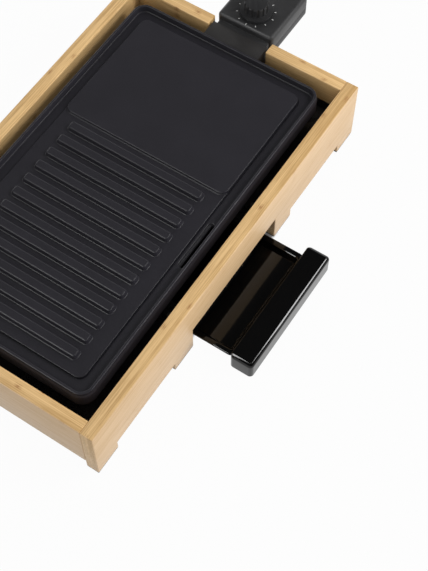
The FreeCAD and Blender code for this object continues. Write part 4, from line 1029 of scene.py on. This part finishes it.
class GRILL_OT_control(EasingOperator, bpy.types.Operator):
    """Build the plug-in control: its housing, indicator, gland, probe and dial marks"""
    bl_idname = "grill.control"
    bl_label = "Control"
    body, ending = "control", "eased"
    eased = (("control_upper_shell", "shell", "control_black"),
             ("control_lower_shell", "shell", "control_black"), ("pilot_lens", "lens", "lens_red"),
             ("cord_bushing", "rubber", "pad_rubber"), ("probe_rod", "pin", "plated_pin"))
    plain = (("thermostat_block", "phenolic"), ("contact_sleeves", "brass"), ("pilot_lamp", "lamp"))

    ease: length("Ease", "Radius of the eased edges", 0.4)
    mark_radius: length("Mark radius", "Radius of the ring of dial marks", 22.0)
    mark_length: length("Mark length", "Length of a dial mark", 2.2)
    mark_width: length("Mark width", "Width of a dial mark", 0.6)
    mark_height: length("Mark height", "Thickness of a dial mark", 0.12)
    mark_sweep: degrees("Mark sweep", "Angle from the first dial mark to the last", 270)
    mark_count: IntProperty(name="Marks", description="Number of dial marks", default=10, min=2)

    def build(self, scene):
        super().build(scene)
        self.add_marks(finishes()["print"])

    def add_marks(self, ink):
        """Printed ticks round the dial."""
        low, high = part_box("control_knob")
        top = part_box("control_upper_shell")[1].z
        centre = ((low.x + high.x) / 2, (low.y + high.y) / 2, top)
        holder = add_object("dial_marks", bpy.data.meshes.new("dial_marks"))
        run_tree(holder, tick_tree(), Radius=self.mark_radius, Start=0.0, Sweep=-self.mark_sweep,
                 Centre=centre, Count=self.mark_count, Finish=ink, **{
                     "Mark length": self.mark_length, "Mark width": self.mark_width,
                     "Mark height": self.mark_height})
        paint(holder, ink)
        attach(holder, "control")


class GRILL_OT_knob(EasingOperator, bpy.types.Operator):
    """Finish the dial and its shaft"""
    bl_idname = "grill.knob"
    bl_label = "Dial"
    body, ending, plain = "knob", "eased", (("knob_shaft", "zinc"),)
    eased = (("control_knob", "satin", "knob_black"),)

    ease: length("Ease", "Radius of the eased edges", 0.35)


# Light: the floor and the sky look white, with painted shade on the floor under the frame and beside the
# tray, and the lamps are split between lighting and being mirrored.

WHITE = (1.0, 1.0, 1.0, 1.0)
SKY = 0.74                      # strength of the soft light from all round
CEILING = (1.0, 0.06)           # what the gloss mirrors, from the horizon to overhead
CEILING_SPAN = (0.30, 0.52)     # where that changes, as the height of the direction
FLOOR_WHITE = (0.05, 0.965)     # share of white in the floor under the object and round it; the low share under it is painted shade
FLOOR_FADE = (-3 * MM, 1 * MM)  # where that changes, across the edge of a painted shade area
PAINTED_SHADE_INSET = 6 * MM            # how far the painted shade keeps inside the frame
LAMP_AIM = Vector((0, -0.05, 0.05))
LAMPS = (
    # name, place, size, power, whether it lights, whether it is mirrored
    ("right_box", (2.6, 0.4, 1.6), (1.3, 1.3), 8.0, True, False),
    ("low_box", (1.0, -2.6, 0.6), (1.6, 0.5), 25.0, True, False),
    ("front_strip", (0.98, -1.49, 1.61), (0.5, 0.62), 18.0, True, True),
    ("back_strip", (1.0, 2.15, 0.55), (1.4, 0.5), 5.0, False, True),
    ("left_box", (-1.35, 0.6, 1.9), (0.55, 1.0), 25.0, False, True))


def light_path(tree):
    """1 for rays from the camera, and 1 for rays in gloss or through glass."""
    path = add_node(tree, "ShaderNodeLightPath").outputs
    return path["Is Camera Ray"], higher(path["Is Glossy Ray"], path["Is Transmission Ray"])


class GRILL_OT_stage(GrillOperator, bpy.types.Operator):
    """Set the floor, the soft light and the camera"""
    bl_idname = "grill.stage"
    bl_label = "Stage"

    floor_size: FloatProperty(name="Floor", description="Side of the floor", default=30.0, unit="LENGTH")
    floor_level: length("Floor level", "Level of the floor", -0.2)

    def build(self, scene):
        look = scene.grill_stage
        scene.view_settings.view_transform = "Standard"
        self.add_floor(look)
        self.add_world(scene)
        self.add_lights(scene)
        self.add_camera(scene, look)

    def add_floor(self, look):
        half = self.floor_size / 2
        mesh = bpy.data.meshes.new("floor")
        mesh.from_pydata([(x * half, y * half, self.floor_level)
                          for x, y in ((-1, -1), (1, -1), (1, 1), (-1, 1))], [], [(0, 1, 2, 3)])
        floor = add_object("floor", mesh)
        material = bpy.data.materials.new("pale_floor")
        tree = bare_tree(material)
        matte = result(tree, "ShaderNodeBsdfDiffuse", {"Color": (*look.floor, 1.0)})
        white = result(tree, "ShaderNodeEmission", {"Color": WHITE, "Strength": 1.0})
        both = result(tree, "ShaderNodeMixShader", {0: self.whiteness(tree), 1: matte, 2: white})
        add_node(tree, "ShaderNodeOutputMaterial", {0: both}, is_active_output=True)
        mesh.materials.append(material)

    def whiteness(self, tree):
        """How white the floor looks: fully where the camera and the gloss see it, less under the object and
        beside the tray, where shade is painted and the real shadow shows through.
        """
        place = add_node(tree, "ShaderNodeTexCoord").outputs["Object"]
        axes = add_node(tree, "ShaderNodeSeparateXYZ", {0: place}).outputs[:2]
        wide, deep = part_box("rear_rail")[1][:2]
        # the middle and half size of each painted shade area, along X and along Y
        under_frame = ((0.0, wide - PAINTED_SHADE_INSET), (0.0, deep - PAINTED_SHADE_INSET))
        beside_tray = ((74 * MM, 14 * MM), (-deep / 2, deep / 2))
        painted_shades = []
        # painted shade: in these areas the floor loses its white, so it is dark under the frame and beside
        # the tray even where no shadow falls
        for area in (under_frame, beside_tray):
            beyond = [minus(unsigned(minus(axis, middle)), half)
                      for axis, (middle, half) in zip(axes, area)]
            painted_shades.append(ranged(higher(*beyond), *FLOOR_WHITE, *FLOOR_FADE))
        return times(higher(*light_path(tree)), lower(*painted_shades))

    def add_world(self, scene):
        """White behind the object, an even soft light on it, and a dim ceiling for the gloss to mirror."""
        scene.world = bpy.data.worlds.new("studio")
        tree = bare_tree(scene.world)
        camera, clear = light_path(tree)
        way = add_node(tree, "ShaderNodeTexCoord").outputs["Generated"]
        height = add_node(tree, "ShaderNodeSeparateXYZ", {0: way}).outputs[2]
        soft = mix_value(clear, SKY, ranged(height, *CEILING, *CEILING_SPAN))
        sky = result(tree, "ShaderNodeBackground", {"Color": WHITE,
                                                    "Strength": mix_value(camera, soft, 1.0)})
        add_node(tree, "ShaderNodeOutputWorld", {0: sky})

    def add_lights(self, scene):
        for name, place, size, power, lights, mirrored in LAMPS:
            lamp = bpy.data.lights.new(name, "AREA")
            lamp.shape = "RECTANGLE"
            lamp.size, lamp.size_y = size
            lamp.energy = power
            item = bpy.data.objects.new(name, lamp)
            item.location = place
            item.visible_diffuse, item.visible_glossy = lights, mirrored
            item.rotation_euler = (LAMP_AIM - Vector(place)).to_track_quat("-Z", "Y").to_euler()
            scene.collection.objects.link(item)

    def add_camera(self, scene, look):
        lens = bpy.data.cameras.new("camera")
        lens.sensor_width = SENSOR
        lens.lens = look.focal / IMAGE_HEIGHT * SENSOR
        a, e = look.azimuth, look.elevation
        back = Vector((math.sin(a) * math.cos(e), -math.cos(a) * math.cos(e), math.sin(e)))
        right = Vector((math.cos(a), math.sin(a), 0.0))
        up = back.cross(right)
        across = (look.aim_pixel[0] - IMAGE_WIDTH / 2) / look.focal * look.distance
        down = (look.aim_pixel[1] - IMAGE_HEIGHT / 2) / look.focal * look.distance
        item = bpy.data.objects.new("camera", lens)
        item.location = Vector(look.aim) + back * look.distance - right * across + up * down
        item.rotation_euler = (-back).to_track_quat("-Z", "Y").to_euler()
        scene.collection.objects.link(item)
        scene.camera = item


LOOKS = {"grill_bamboo": BambooLook, "grill_plate": PlateLook, "grill_tray": TrayLook,
         "grill_stage": StageLook}
OPERATORS = (GRILL_OT_rails, GRILL_OT_plate, GRILL_OT_ribs, GRILL_OT_tray, GRILL_OT_handle,
             GRILL_OT_sheets, GRILL_OT_fasteners, GRILL_OT_supports, GRILL_OT_heater, GRILL_OT_control,
             GRILL_OT_knob, GRILL_OT_stage)


class GRILL_PT_panel(bpy.types.Panel):
    """Steps that build the table grill"""
    bl_label = "Table grill"
    bl_idname = "GRILL_PT_panel"
    bl_space_type = "VIEW_3D"
    bl_region_type = "UI"
    bl_category = "Grill"

    def draw(self, context):
        for step in OPERATORS:
            self.layout.operator(step.bl_idname)


CLASSES = (*LOOKS.values(), *OPERATORS, GRILL_PT_panel)


def register():
    for item in CLASSES:
        bpy.utils.register_class(item)
    for name, look in LOOKS.items():
        setattr(bpy.types.Scene, name, PointerProperty(type=look))


def unregister():
    for name in LOOKS:
        delattr(bpy.types.Scene, name)
    for item in reversed(CLASSES):
        bpy.utils.unregister_class(item)


def main():
    register()
    for step in OPERATORS:
        group, name = step.bl_idname.split(".")
        getattr(getattr(bpy.ops, group), name)()


if __name__ == "__main__":
    main()
